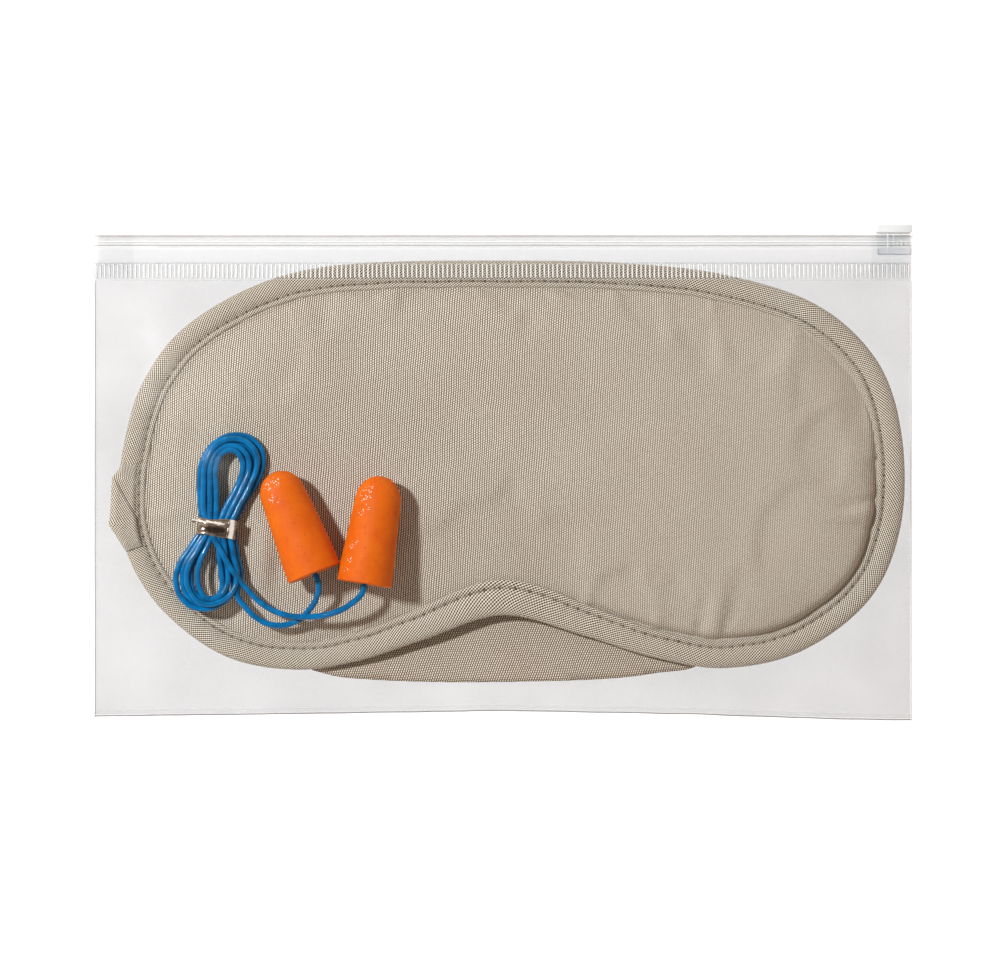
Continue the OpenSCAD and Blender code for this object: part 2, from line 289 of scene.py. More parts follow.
def filled(outline, spacing, rings=()):
    """Triangles over the inside of an outline: points, faces, and distances from the edge.
    The outline's own points come first, then extra rows of points at some distances in."""
    low, high = outline.min(0), outline.max(0)
    grid = np.array([
        (x + (0.5 * spacing if j % 2 else 0), y)
        for j, y in enumerate(np.arange(low[1], high[1], spacing * math.sqrt(3) / 2))
        for x in np.arange(low[0], high[0], spacing)
    ])
    n = len(outline)
    crossings = np.zeros(len(grid), int)
    for p, q in zip(outline, np.roll(outline, -1, axis=0)):
        if p[1] == q[1]:
            continue
        spans = (grid[:, 1] >= min(p[1], q[1])) & (grid[:, 1] < max(p[1], q[1]))
        x = p[0] + (grid[:, 1] - p[1]) / (q[1] - p[1]) * (q[0] - p[0])
        crossings += spans & (x > grid[:, 0])
    grid = grid[crossings % 2 == 1]
    clear = 0.6 * spacing + (rings[-1] if rings else 0)
    grid = grid[edge_distance(grid, outline) > clear]
    inner = [outline + inward(outline) * r for r in rings]
    points = np.vstack([outline, *inner, grid])
    edges = [(i, (i + 1) % n) for i in range(n)]
    done = geometry.delaunay_2d_cdt([Vector(p) for p in points], edges, [], 1, 1e-6)
    points = np.array([tuple(v) for v in done[0]])
    return points, [tuple(f) for f in done[2]], edge_distance(points, outline)


def pillow(name, points, faces, rim, top, bottom, material):
    """A closed pad over triangles that fill an outline. top and bottom are its heights, one
    or one for each point. The first points are the rim. UVs are millimetres."""
    n = len(points)
    verts = np.vstack([np.column_stack([points, np.zeros(n) + z]) for z in (top, bottom)])
    under = [tuple(n + i for i in reversed(f)) for f in faces]
    walls = [(i, (i + 1) % rim, n + (i + 1) % rim, n + i) for i in range(rim)]
    every = list(faces) + under + walls
    uvs = [verts[i, :2] for f in every for i in f]
    return make(name, verts, every, uvs, material, closed=True)


def wobble(p, scale, seed=0.0):
    """Smooth noise over x and y, at a wavelength in millimetres."""
    return rough(p[0] / scale + seed, p[1] / scale - seed, seed)


def wobbles(points, scale, seed=0.0):
    """The same noise at each of several points."""
    return np.array([wobble(p, scale, seed) for p in points])


def tube_curve(name, points, radius):
    """A round cord: one open curve through points in millimetres."""
    data = bpy.data.curves.new(name, "CURVE")
    put(data, dimensions="3D", bevel_depth=radius * MM, bevel_resolution=4, resolution_u=6)
    data.use_fill_caps = True
    spline = data.splines.new("BEZIER")
    spline.bezier_points.add(len(points) - 1)
    for b, p in zip(spline.bezier_points, points):
        b.co = Vector(p) * MM
        b.handle_left_type = b.handle_right_type = "AUTO"
    return link(name, data)


# ---------------------------------------------------------------- camera

CAMERA_HEIGHT = 1.6
VIEW_WIDTH = 0.25  # metres across the frame at the height of the mask's face
VIEW_LEVEL = 0.004
VIEW_MIDDLE = (-0.0006, -0.00175)
camera_data = bpy.data.cameras.new("Camera")
camera_data.lens = camera_data.sensor_width * (CAMERA_HEIGHT - VIEW_LEVEL) / VIEW_WIDTH
camera_data.clip_end = 10
camera = link("Camera", camera_data)
camera.location = (*VIEW_MIDDLE, CAMERA_HEIGHT)
bpy.context.scene.camera = camera

# ---------------------------------------------------------------- material helpers


class Value:
    """A number socket that takes arithmetic: each step adds a math node."""

    def __init__(self, nodes, socket):
        self.nodes = nodes
        self.socket = socket

    def __add__(self, other):
        return self.nodes.math("ADD", self, other)

    def __sub__(self, other):
        return self.nodes.math("SUBTRACT", self, other)

    def __rsub__(self, other):
        return self.nodes.math("SUBTRACT", other, self)

    def __mul__(self, other):
        return self.nodes.math("MULTIPLY", self, other)

    def __truediv__(self, other):
        return self.nodes.math("DIVIDE", self, other)

    def __abs__(self):
        return self.nodes.math("ABSOLUTE", self)


class Nodes:
    """Short ways to build a material's node tree. Sockets, values or plain numbers go in."""

    def __init__(self, name):
        self.mat = bpy.data.materials.new(name)
        self.mat.use_nodes = True
        self.tree = self.mat.node_tree
        self.tree.nodes.clear()
        self.out = self.tree.nodes.new("ShaderNodeOutputMaterial")

    def add(self, kind, inputs=None, **props):
        """A shader node, with its inputs fed and its properties set."""
        node = self.tree.nodes.new("ShaderNode" + kind)
        put(node, **props)
        for key, value in (inputs or {}).items():
            self.put(node.inputs[key], value)
        return node

    def put(self, socket, value):
        """Links a socket to an output, or sets it when the value is plain."""
        if isinstance(value, Value):
            value = value.socket
        if isinstance(value, bpy.types.NodeSocket):
            self.tree.links.new(value, socket)
        else:
            socket.default_value = value

    def math(self, operation, a, b=0.0):
        node = self.add("Math", {0: a, 1: b}, operation=operation)
        return Value(self, node.outputs[0])

    def vector(self, operation, a, b):
        """Outputs of a vector math node."""
        return self.add("VectorMath", {0: a, 1: b}, operation=operation).outputs

    def mix(self, factor, a, b, blend="MIX"):
        """Colour a turning into colour b."""
        node = self.add("Mix", data_type="RGBA", blend_type=blend)
        self.put(node.inputs[0], factor)
        self.put(node.inputs[6], a)
        self.put(node.inputs[7], b)
        return node.outputs[2]

    def ramp(self, value, low, high, out_low=0.0, out_high=1.0):
        """A value mapped from one range to another, and kept inside it."""
        limits = {0: value, 1: low, 2: high, 3: out_low, 4: out_high}
        return Value(self, self.add("MapRange", limits, clamp=True).outputs[0])

    def place(self):
        """Object coordinates in millimetres."""
        at = self.add("TexCoord").outputs["Object"]
        return self.vector("MULTIPLY", at, (1000.0, 1000.0, 1000.0))[0]

    def uv(self):
        """The UV map, which most pieces have in millimetres."""
        return self.add("UVMap", uv_map="UVMap").outputs[0]

    def noise(self, where, size, detail=2.0, roughness=0.5):
        """Noise from 0 to 1 with features of a size in the units of where."""
        node = self.add(
            "TexNoise",
            {"Vector": where, "Scale": 1.0 / size, "Detail": detail, "Roughness": roughness},
        )
        return Value(self, node.outputs["Fac"])

    def cells(self, where, scale):
        """Voronoi cells: distance from each cell's middle, and two random values of it."""
        out = self.add("TexVoronoi", {"Vector": where, "Scale": scale}).outputs
        chance = self.split(out["Color"])
        return Value(self, out["Distance"]), chance[0], chance[1]

    def split(self, vector):
        """X, Y and Z of a vector."""
        return [Value(self, part) for part in self.add("SeparateXYZ", {0: vector}).outputs]

    def bump(self, height, distance, strength=1.0):
        """A normal that leans with a height."""
        inputs = {"Strength": strength, "Distance": distance, "Height": height}
        return self.add("Bump", inputs).outputs[0]

    def finish(self, **inputs):
        """The material, made of one principled shader: _ stands for a space in its sockets."""
        bsdf = self.add("BsdfPrincipled", {key.replace("_", " "): v for key, v in inputs.items()})
        self.tree.links.new(bsdf.outputs[0], self.out.inputs["Surface"])
        return self.mat


def colour(r, g, b):
    """Linear colour from an sRGB one given as 0 to 255."""
    return tuple(
        (v / 12.92 if v <= 0.04045 else ((v + 0.055) / 1.055) ** 2.4)
        for v in (r / 255, g / 255, b / 255)
    ) + (1.0,)


# directions that the threads of each cloth line up in: threads per millimetre along x and y,
# and how plainly that direction shows
FACE_WEAVE = ((1.74, -0.11, 0.5), (0.76, -1.74, 0.34), (0.98, 1.63, 0.24))
FLAP_WEAVE = ((1.75, -0.6, 0.5), (0.14, -1.72, 0.24), (1.61, 1.12, 0.34))
TAPE_WEAVE = ((1.06, -1.58, 0.5), (1.59, 1.0, 0.36))
WEAVE_MIDDLE = 0.34


def weave(n, where, lines):
    """Woven threads: from 0 in the gaps to 1 where a thread lies on top."""
    wander = n.add("TexNoise", {"Vector": where, "Scale": 1 / 9.0, "Detail": 1.0}).outputs["Color"]
    shift = n.vector("SUBTRACT", wander, (0.5, 0.5, 0.5))[0]
    shift = n.vector("MULTIPLY", shift, (0.9, 0.9, 0.9))[0]
    at = n.vector("ADD", where, shift)[0]
    total = 0.0
    for fx, fy, strength in lines:
        spin = (2 * math.pi * fx, 2 * math.pi * fy, 0)
        run = n.vector("DOT_PRODUCT", at, spin)["Value"]
        total = n.math("COSINE", run) * strength + total
    most = sum(line[2] for line in lines)
    return n.ramp(total, -0.5 * most, most)


def stitch_marks(n, base, height):
    """Dents of the needle holes, and painted shade in them, along the groove between them and along
    the crease inside it.
    """
    u, v, _ = n.split(n.uv())
    near = abs(n.math("FRACT", u / STITCH_PITCH) - 0.5) * STITCH_PITCH
    away = abs(v - STITCH_V)
    reach = n.math("POWER", near * near + away * away, 0.5)
    pit_dent_and_shade = n.ramp(reach, 0.12, 0.34, 1.0, 0.0)
    uneven = n.ramp(n.noise(n.place(), 7.0, 1.0), 0.35, 0.65, 0.25, 0.9)
    groove = n.ramp(away, 0.12, 0.4, 1.0, 0.0) * uneven
    inner = n.ramp(abs(v - (STITCH_V - 2.3)), 0.1, 0.3, 1.0, 0.0) * 0.5
    # painted shade along the groove and along the crease at the tape's inner edge
    base = n.mix(n.math("MAXIMUM", groove, inner) * 0.6, base, colour(84, 66, 52))
    # painted shade in the needle holes
    base = n.mix(pit_dent_and_shade * 0.9, base, colour(40, 31, 24))
    return base, height - pit_dent_and_shade * 2.0


def cloth(name, light, dark, lines=FACE_WEAVE, by_uv=False, contrast=1.0, stitched=False,
          soft_shaded_side=False):
    """Plain-weave cloth with thread-scale relief and soft uneven tone."""
    n = Nodes(name)
    at = n.uv() if by_uv else n.place()
    height = weave(n, at, lines)
    half = 0.3 / contrast
    dots = n.ramp(height, WEAVE_MIDDLE - half, WEAVE_MIDDLE + half)
    # towards the lower right the weave is blended into one even, slightly darker tone (worn): its
    # contrast is softer there, and the darkening is painted shade, not wear
    if soft_shaded_side:
        x, y, _ = n.split(n.place())
        worn = n.ramp(x - y * 0.4, -20.0, 75.0, 0.0, 0.6)
        dots = dots * (1.0 - worn) + worn * 0.44
    slub = n.noise(at, 0.5, 1.0)
    cloud = n.noise(n.place(), 26.0, 3.0, 0.55)
    base = n.mix(dots * n.ramp(slub, 0.25, 0.75, 0.75, 1.0), dark, light)
    warm = n.mix(n.ramp(cloud, 0.35, 0.7), (1.0, 1.0, 1.0, 1), (0.97, 0.945, 0.92, 1))
    base = n.mix(1.0, base, warm, "MULTIPLY")
    # stitched tape gets painted shade in its needle holes, groove and crease
    if stitched:
        base, height = stitch_marks(n, base, height)
    return n.finish(
        Base_Color=base, Roughness=n.ramp(slub, 0.3, 0.7, 0.62, 0.8), Specular_IOR_Level=0.25,
        Sheen_Weight=0.12, Sheen_Roughness=0.4, Normal=n.bump(height, 0.00012, 0.8),
    )


# ---------------------------------------------------------------- mask outlines

EDGE, EDGE_RUN = even(curve(MASK_EDGE, 24, closed=True), 832)


def binding_profile():
    """Cross-section of the bound edge: (distance in from the edge, height) pairs, from the
    inner edge on the face, round the outside, to the inner edge on the back."""
    t, m, low = BIND_TOP, BIND_MID, BINDING_LOW[2]
    return np.array([
        (6.95, t - 2.0), (6.9, t - 1.0), (6.75, t - 0.3), (6.5, t), (6.1, t + 0.08),
        (5.75, t), (5.5, t - 0.2), (5.2, t - 0.32), (4.9, t - 0.22), (4.4, t + 0.05),
        (3.6, t + 0.25), (2.6, t + 0.3), (1.6, t + 0.2), (0.8, t - 0.1), (0.25, t - 0.6),
        (0, m), (0.2, m - 0.6), (0.8, low + 0.25), (1.8, low), (3.2, low), (4.4, low + 0.25),
        (5.4, low), (6.4, low + 0.05), (6.9, low + 0.5),
    ])


PROFILE = binding_profile()
PROFILE_RUN = run_along(PROFILE)
STITCH_AT = 7  # which of its points is the bottom of the stitch groove
OUTER_AT = 15  # and which is the outermost
STITCH_W = PROFILE[STITCH_AT][0]
STITCH_V = float(PROFILE_RUN[STITCH_AT])

# ---------------------------------------------------------------- cord

# the hank's outermost and innermost loops, anticlockwise from its lower right
HANK_OUTER = [
    (-65.2, -26.5), (-66.3, -20.5), (-66.9, -14.2), (-64.6, -8.6), (-61.2, -3), (-59.5, 2.6),
    (-61.3, 7), (-65.7, 8.9), (-70.8, 7.4), (-74.4, 2.9), (-75.3, -3), (-75.1, -9),
    (-74.9, -14.2), (-77.6, -19), (-80.6, -23.8), (-81.2, -28.3), (-79.1, -32.4), (-75.4, -34.4),
    (-70.2, -33.6), (-66.2, -30.6),
]
HANK_INNER = [
    (-69.9, -26), (-70.4, -21), (-70.5, -14.2), (-69, -9.6), (-66.6, -5), (-64.9, -0.2),
    (-65.2, 3), (-67.6, 5), (-70.2, 3.6), (-71.3, 0.4), (-71.2, -4), (-71.1, -9),
    (-71.5, -14.2), (-73, -18.5), (-74.9, -22.5), (-75.6, -26), (-75.2, -29.2), (-73.2, -31.3),
    (-71.2, -30.9), (-70, -28.8),
]
TURNS = 6
# how deep each turn lies in the upper and the lower loop: 0 is outermost, 1 innermost
UPPER_DEPTHS = (0.0, 0.42, 0.84, 1.0, 0.63, 0.21, 0.12)
LOWER_DEPTHS = (0.0, 0.27, 0.66, 0.95, 0.47, 0.21, 0.12)
LOWER_SHARE = {11: 0.33, 12: 0.66, 13: 1, 14: 1, 15: 1, 16: 1, 17: 1, 18: 0.66, 19: 0.33}
SLIT_POINTS = (4, 5, 6, 7)  # where the outermost strand stands away from the rest
HANK_END = 9  # points of the last turn that the hank leaves out
UPPER_LAYER = 2.72  # the turn at which the cord climbs to its upper layer, and by how much
LAYER_RISE = 1.45
TIE_MIDDLE = (-71.0, -14.2)
TIE_TURN = math.radians(-8)


def hank_route():
    """The cord's middle line from the left plug's lead, through the hank, to the right one's.
    It winds inwards in a lower layer and outwards again in an upper one."""
    per_turn = len(HANK_OUTER)
    outer = np.array(HANK_OUTER, float)
    inner = np.array(HANK_INNER, float)
    made = []
    for k in range(TURNS * per_turn - HANK_END):
        turn = k / per_turn
        whole, i = divmod(k, per_turn)
        change = max(0.0, (turn - whole - 0.8) / 0.2)
        low = LOWER_SHARE.get(i, 0)
        here, after = (
            UPPER_DEPTHS[w] * (1 - low) + LOWER_DEPTHS[w] * low for w in (whole, whole + 1)
        )
        depth = here * (1 - change) + after * change
        if i in SLIT_POINTS and depth > 0.1:
            depth = min(depth + 0.06, 1.0)
        spot = outer[i] + (inner[i] - outer[i]) * depth
        loose = 0.135 if abs(spot[1] - TIE_MIDDLE[1]) < 3 else 0.3
        x, y = spot + loose * np.array([wobble((k, turn), 3.1, 1.7), wobble((k, turn), 2.7, 4.4)])
        climb = LAYER_RISE * clamp((turn - UPPER_LAYER) * 4)
        z = HANK_Z + CORD_R + 0.05 + climb + 0.22 * (1 + wobble((k, 3), 2.3, 8.1))
        made.append((x, y, z))
    return made


CROSS_Z = HANK_Z + CORD_R + 2.6
# the last pass comes down over the bundle and leaves beside the first
LAST_PASS = [
    (-73.8, -12.6, CROSS_Z - 0.7), (-72.2, -16.2, CROSS_Z - 0.3), (-70, -20, CROSS_Z),
    (-67.6, -24.2, CROSS_Z),
]
route = LEAD_LEFT[::-1] + hank_route() + LAST_PASS + LEAD_RIGHT
cord = tube_curve("cord", route, CORD_R)

# ---------------------------------------------------------------- materials

face_cloth = cloth(
    "face_cloth", colour(255, 247, 233), colour(104, 87, 72), contrast=1.5, soft_shaded_side=True,
)
lining_cloth = cloth("lining_cloth", colour(190, 178, 163), colour(118, 102, 88))
flap_cloth = cloth(
    "flap_cloth", colour(255, 242, 224), colour(86, 68, 54), FLAP_WEAVE, contrast=1.6,
)
TAPE_TONES = colour(252, 242, 226), colour(70, 55, 44)
tape_cloth = cloth("tape_cloth", *TAPE_TONES, TAPE_WEAVE, True, 1.7, stitched=True)
fold_cloth = cloth("fold_cloth", *TAPE_TONES, TAPE_WEAVE, True, 1.7)


def thread_material():
    """Twisted sewing thread."""
    n = Nodes("thread")
    x, y, z = n.split(n.place())
    ply = n.math("SINE", (x + y + z) * 21.0)
    tone = n.mix(n.ramp(ply, -0.8, 0.8), colour(120, 104, 88), colour(178, 163, 143))
    return n.finish(Base_Color=tone, Roughness=0.55, Normal=n.bump(ply, 0.00005, 0.6))


def elastic_material():
    """Ribbed elastic: cords along the strap, with a cross thread over them."""
    n = Nodes("elastic")
    u, v, _ = n.split(n.uv())
    ribs = n.math("SINE", v * (2 * math.pi / 0.95))
    picks = n.math("SINE", u * (2 * math.pi / 0.55))
    height = ribs + picks * 0.35
    worn = n.ramp(n.noise(n.uv(), 7.0, 3.0), 0.35, 0.75, 0.0, 0.18)
    tone = n.mix(n.ramp(height, -1.0, 1.1), colour(112, 98, 84), colour(188, 172, 152))
    tone = n.mix(worn, tone, colour(205, 192, 174))
    return n.finish(Base_Color=tone, Roughness=0.75, Normal=n.bump(height, 0.0002, 0.8))


def pad_material():
    """Open-cell foam of the pad."""
    n = Nodes("pad_foam")
    away, _, _ = n.cells(n.place(), 1.6)
    tone = n.mix(n.ramp(away, 0.05, 0.6), colour(120, 112, 98), colour(214, 206, 186))
    return n.finish(Base_Color=tone, Roughness=0.9, Normal=n.bump(away, 0.0004, 0.8))


# where glossy specks on a plug's skin are painted white as glints: x, y and reach
GLINT_SPECK_PATCHES = (
    (-57.2, -3.4, 0.8), (-56.4, -7.0, 0.5), (-33.4, -5.8, 1.0), (-33.8, -10.2, 0.6),
    (-35.8, -18.4, 0.8), (-36.8, -22.6, 0.9), (-37.6, -25.2, 0.5),
)


def plug_material():
    """Slow-recovery foam: a smooth orange skin with pores, and small glossy spots painted white as
    glints of light.
    """
    n = Nodes("plug_foam")
    at = n.place()
    cloud = n.noise(at, 5.0, 3.0, 0.55)
    grain = n.noise(at, 0.35, 2.0, 0.6)
    away, chance, _ = n.cells(at, 1.15)
    pores = n.ramp(away, 0.1, 0.2, 1.0, 0.0) * n.ramp(chance, 0.72, 0.76)
    glint_patch = 0.0
    for x, y, reach in GLINT_SPECK_PATCHES:
        near = n.vector("DISTANCE", at, (x, y, 19.0))["Value"]
        glint_patch = n.math("MAXIMUM", glint_patch, n.ramp(near, reach * 0.8, reach + 2.6, 1.0, 0.0))
    away, _, chance = n.cells(at, 2.3)
    glint_specks = n.ramp(away, 0.3, 0.42, 1.0, 0.0) * n.ramp(chance, 0.55, 0.6)
    glint_specks = glint_specks * n.ramp(glint_patch + n.noise(at, 1.4, 1.0), 0.98, 1.1)
    tone = n.mix(n.ramp(cloud, 0.3, 0.7), colour(217, 94, 0), colour(227, 109, 0))
    tone = n.mix(n.ramp(grain, 0.4, 0.7) * 0.25, tone, colour(196, 76, 0))
    tone = n.mix(pores * 0.5, tone, colour(150, 54, 8))
    # painted highlights: the glints are painted near white, and are glossier than the skin around them
    tone = n.mix(glint_specks * 0.95, tone, colour(255, 250, 240))
    return n.finish(
        Base_Color=tone, Roughness=0.62 - glint_specks * 0.4, Specular_IOR_Level=0.2,
        Subsurface_Weight=(1.0 - glint_specks) * 0.4, Subsurface_Radius=(1.0, 0.35, 0.1),
        Subsurface_Scale=0.002, Normal=n.bump(grain + glint_specks - pores * 3.0, 0.00006, 0.9),
    )


def cord_material():
    """Clear blue vinyl, glossy, with a slightly uneven skin."""
    n = Nodes("vinyl_cord")
    at = n.place()
    uneven = n.noise(at, 2.4, 2.0)
    streak = n.noise(at, 0.9, 2.0)
    tone = n.mix(n.ramp(uneven, 0.3, 0.7), colour(0, 92, 142), colour(0, 122, 188))
    return n.finish(
        Base_Color=tone, Roughness=n.ramp(streak, 0.3, 0.7, 0.04, 0.08), IOR=1.5,
        Specular_IOR_Level=0.22, Transmission_Weight=0.1, Normal=n.bump(streak, 0.00012, 0.5),
    )


def foil_material():
    """Crumpled foil over paper: painted shade makes it dark in an oval hollow, and painted highlights
    make it bright along a line on its upper part and at its lap.
    """
    n = Nodes("tie_foil")
    at = n.place()
    x, y, _ = n.split(at)
    x, y = x - TIE_MIDDLE[0], y - TIE_MIDDLE[1]
    c, s = unit(TIE_TURN)
    along = x * c + y * s
    across = y * c - x * s
    ragged = (n.noise(at, 1.0, 2.0) - 0.5) * 0.9
    off_x, off_y = (along + 0.3) / 2.6, (across + 0.5 + ragged) / 1.1
    # hollow: an oval of painted shade
    hollow = n.ramp(off_x * off_x + off_y * off_y, 0.7, 1.15, 1.0, 0.0)
    # painted highlight along a line on the band's upper part
    painted_highlight_line = n.ramp(abs(across - 1.15 + ragged), 0.12, 0.3, 1.0, 0.0)
    painted_highlight_line = painted_highlight_line * n.ramp(along, 1.6, 2.2, 1.0, 0.0)
    # lap: a painted highlight where the band's ends lap
    lap = n.ramp(abs(along - 3.7 + ragged), 0.4, 0.75, 1.0, 0.0)
    bright = n.math("MAXIMUM", painted_highlight_line, lap)
    crumple = n.noise(at, 1.1, 3.0, 0.6)
    streaks = n.noise(n.vector("MULTIPLY", at, (0.35, 1.6, 1.0))[0], 0.8, 3.0, 0.6)
    tone = n.mix(n.ramp(crumple, 0.35, 0.65), colour(130, 116, 102), colour(182, 169, 155))
    # painted shade in the oval, then painted highlights over the line and the lap
    tone = n.mix(hollow * 0.85, tone, colour(66, 50, 40))
    tone = n.mix(bright, tone, colour(252, 246, 238))
    return n.finish(
        Base_Color=tone, Metallic=n.ramp(bright, 0.0, 1.0, 0.9, 0.25),
        Roughness=n.ramp(crumple, 0.3, 0.7, 0.1, 0.2),
        Normal=n.bump(crumple + streaks, 0.0002, 0.15),
    )


def film_material(name, alpha, tone, roughness=0.2, lines=(), by_uv=True):
    """Clear soft film. lines are (y, half width, alpha, tone) stripes along its zip."""
    n = Nodes(name)
    at = n.uv() if by_uv else n.place()
    cloud = n.noise(at, 38.0, 3.0, 0.6)
    fine = n.noise(at, 6.0, 2.0)
    clear = n.ramp(cloud, 0.3, 0.7, alpha * 0.88, alpha * 1.12)
    lighter = tuple(min(1.0, v * 1.12) for v in tone[:3]) + (1,)
    shade = n.mix(n.ramp(fine, 0.3, 0.7), tone, lighter)
    if lines:
        _, y, _ = n.split(at)
    for middle, half, line_alpha, line_tone in lines:
        inside = n.ramp(abs(y - middle), half * 0.6, half * 1.3, 1.0, 0.0)
        shade = n.mix(inside, shade, line_tone)
        clear = clear + (line_alpha - clear) * inside
    return n.finish(
        Base_Color=shade, Roughness=n.ramp(fine, 0.3, 0.7, roughness, roughness + 0.1),
        Specular_IOR_Level=0.06, Alpha=clear, Normal=n.bump(cloud, 0.0004, 0.3),
    )


# stripes of the zip profile: y, half width, opacity and tone; the white stripes are painted highlights
# and the grey ones painted shade of its ridges
WHITE = colour(252, 252, 252)
ZIP_PAINTED_LIGHT_LINES = [
    (59.2, 0.25, 0.55, WHITE), (58.1, 0.35, 0.2, colour(160, 160, 161)),
    (57.62, 0.14, 0.24, colour(140, 140, 142)), (57.3, 0.1, 0.35, WHITE),
    (57.02, 0.14, 0.26, colour(140, 140, 141)), (56.66, 0.1, 0.35, WHITE),
    (56.3, 0.13, 0.32, colour(130, 132, 130)), (55.95, 0.12, 0.4, WHITE),
]
GREY = colour(18, 18, 20)


def rib_material():
    """Weld ribs: each is whiter and less clear along its middle, a painted highlight, and greyer at
    its edges, painted shade. U runs across it.
    """
    n = Nodes("rib_film")
    u, _, _ = n.split(n.uv())
    core = n.ramp(abs(u), 0.38, 0.6, 1.0, 0.0)
    uneven = n.noise(n.place(), 2.6, 1.0)
    # white middle: painted highlight; grey edges: painted shade
    tone = n.mix(core, colour(122, 124, 124), colour(250, 250, 250))
    clear = n.ramp(core, 0.0, 1.0, 0.25, 0.5) * n.ramp(uneven, 0.3, 0.7, 0.9, 1.1)
    return n.finish(
        Base_Color=tone, Roughness=0.25, Specular_IOR_Level=0.3, Alpha=clear,
        Normal=n.bump(uneven, 0.00005, 0.4),
    )


rib_film = rib_material()
thread = thread_material()
elastic = elastic_material()
pad_foam = pad_material()
plug_foam = plug_material()
vinyl = cord_material()
foil = foil_material()
film = film_material("film", 0.13, GREY, lines=[(54.3, 2.0, 0.108, GREY)])
# the bottom weld: its dark line along the outer edge is painted shade, and its white lines are painted
# highlights
weld = film_material(
    "weld", 0.03, colour(215, 215, 217),
    lines=[(0.1, 0.12, 0.7, colour(96, 98, 100)), (0.36, 0.12, 0.5, WHITE), (1.5, 0.08, 0.2, WHITE)],
)
# the side welds: the white line along the outer edge is a painted highlight
side_weld = film_material(
    "side_weld", 0.02, colour(225, 225, 226), lines=[(0.12, 0.12, 0.7, WHITE)],
)
zip_film = film_material("zip_film", 0.4, colour(168, 167, 168), lines=ZIP_PAINTED_LIGHT_LINES)
zip_end_film = film_material("zip_end_film", 0.008, GREY, by_uv=False)
slider_plastic = film_material("slider_plastic", 0.02, colour(226, 227, 228), 0.25, by_uv=False)
grip_rib_highlight_plastic = film_material("slider_ribs", 0.32, colour(252, 252, 252), by_uv=False)
cap_plastic = film_material("slider_cap_plastic", 0.96, colour(206, 208, 210), 0.4, by_uv=False)

# ---------------------------------------------------------------- mask: face, pad and lining


def crown(distance, reach=34.0):
    """Share of the pad's full height at a distance from its seam."""
    return (1 - (1 - clamp(distance / reach)) ** 3) ** 0.8


def puckers(points, distance):
    """Small pleats that run in from the seam, strongest at the lower right."""
    around = np.arctan2(points[:, 1] + 2, points[:, 0])
    pleat = np.array([rough(a * 17.0, 0.3, 1.1) for a in around])
    where = np.clip((points[:, 0] - points[:, 1] + 20) / 120, 0.15, 1)
    return -clamp(pleat) * 1.1 * where * np.exp(-((distance / 4.5) ** 1.5))


# soft folds in the face: middle, half length, half width, turn in degrees, height
FOLDS = [
    (-60, -19, 7, 2.0, 80, 0.75), (-56, -24, 6, 2.6, 95, -0.6), (-68, -37, 3.6, 1.6, 40, -0.9),
    (-77, 9, 7, 5, 0, -0.75), (-84.5, -11, 5, 1.5, 15, 0.6), (49.5, -37, 6, 0.9, 80, -0.9),
    (53, -37, 7, 1.4, 75, 0.7), (56.5, -37, 6, 1.0, 70, -0.8), (89, -8, 6, 1.1, 15, -1.0),
    (88, -11, 6, 1.2, 5, 0.7), (88, -14, 6, 1.0, -8, -0.8), (-40, 30, 22, 9, 20, -0.4),
    (30, 20, 26, 8, -10, 0.3), (-52, -37, 6, 2.4, 5, 0.55), (-62, 16, 12, 5, -25, 0.45),
    (-72, 26, 10, 4, 35, -0.5), (10, 2, 16, 6, 30, -0.25), (76, 12, 12, 4, 110, -0.25),
]


def lumps(points):
    """Height that the soft folds add at each point."""
    total = np.zeros(len(points))
    for x, y, long, wide, turn, height in FOLDS:
        c, s = unit(math.radians(turn))
        dx, dy = points[:, 0] - x, points[:, 1] - y
        a, b = (dx * c + dy * s) / long, (dy * c - dx * s) / wide
        total += height * np.exp(-(a**2) - b**2)
    return total


SEAM_LINE, _ = even(inset(EDGE, BIND_W - 0.6), 400)
SEAM_ROWS = (0.5, 1.0, 1.4, 1.8, 2.3, 2.9, 3.7, 4.8)
face_points, face_tris, face_far = filled(SEAM_LINE, 1.7, SEAM_ROWS)
FACE_RIM = len(SEAM_LINE)
SEAM_Z = BIND_TOP - 1.3
face_top = SEAM_Z + (FACE_TOP - SEAM_Z) * crown(face_far)
face_top += 0.38 * wobbles(face_points, 24.0, 2.0) * clamp(face_far / 12)
face_top += 0.1 * wobbles(face_points, 10.0, 6.0) * clamp(face_far / 8)
# the pad is plumpest along its lower right side, where it stands up steeply from the seam
plump = clamp((face_points[:, 0] - 14) / 50) * clamp((14 - face_points[:, 1]) / 26)
bulge = 1 - bell(np.clip(face_far - 1.0, 0, None), 1.1)
PLUMP_HEIGHT = 3.1
TRENCH = 0.7  # how deep the seam is drawn in beside it
face_plump = plump * (PLUMP_HEIGHT * bulge * np.exp(-face_far / 26) - TRENCH * bell(face_far, 1.3))
SETTLE_FRAMES = 20
MOST_MOVED = 0.35  # the cloth's result is kept within this of the plain crown


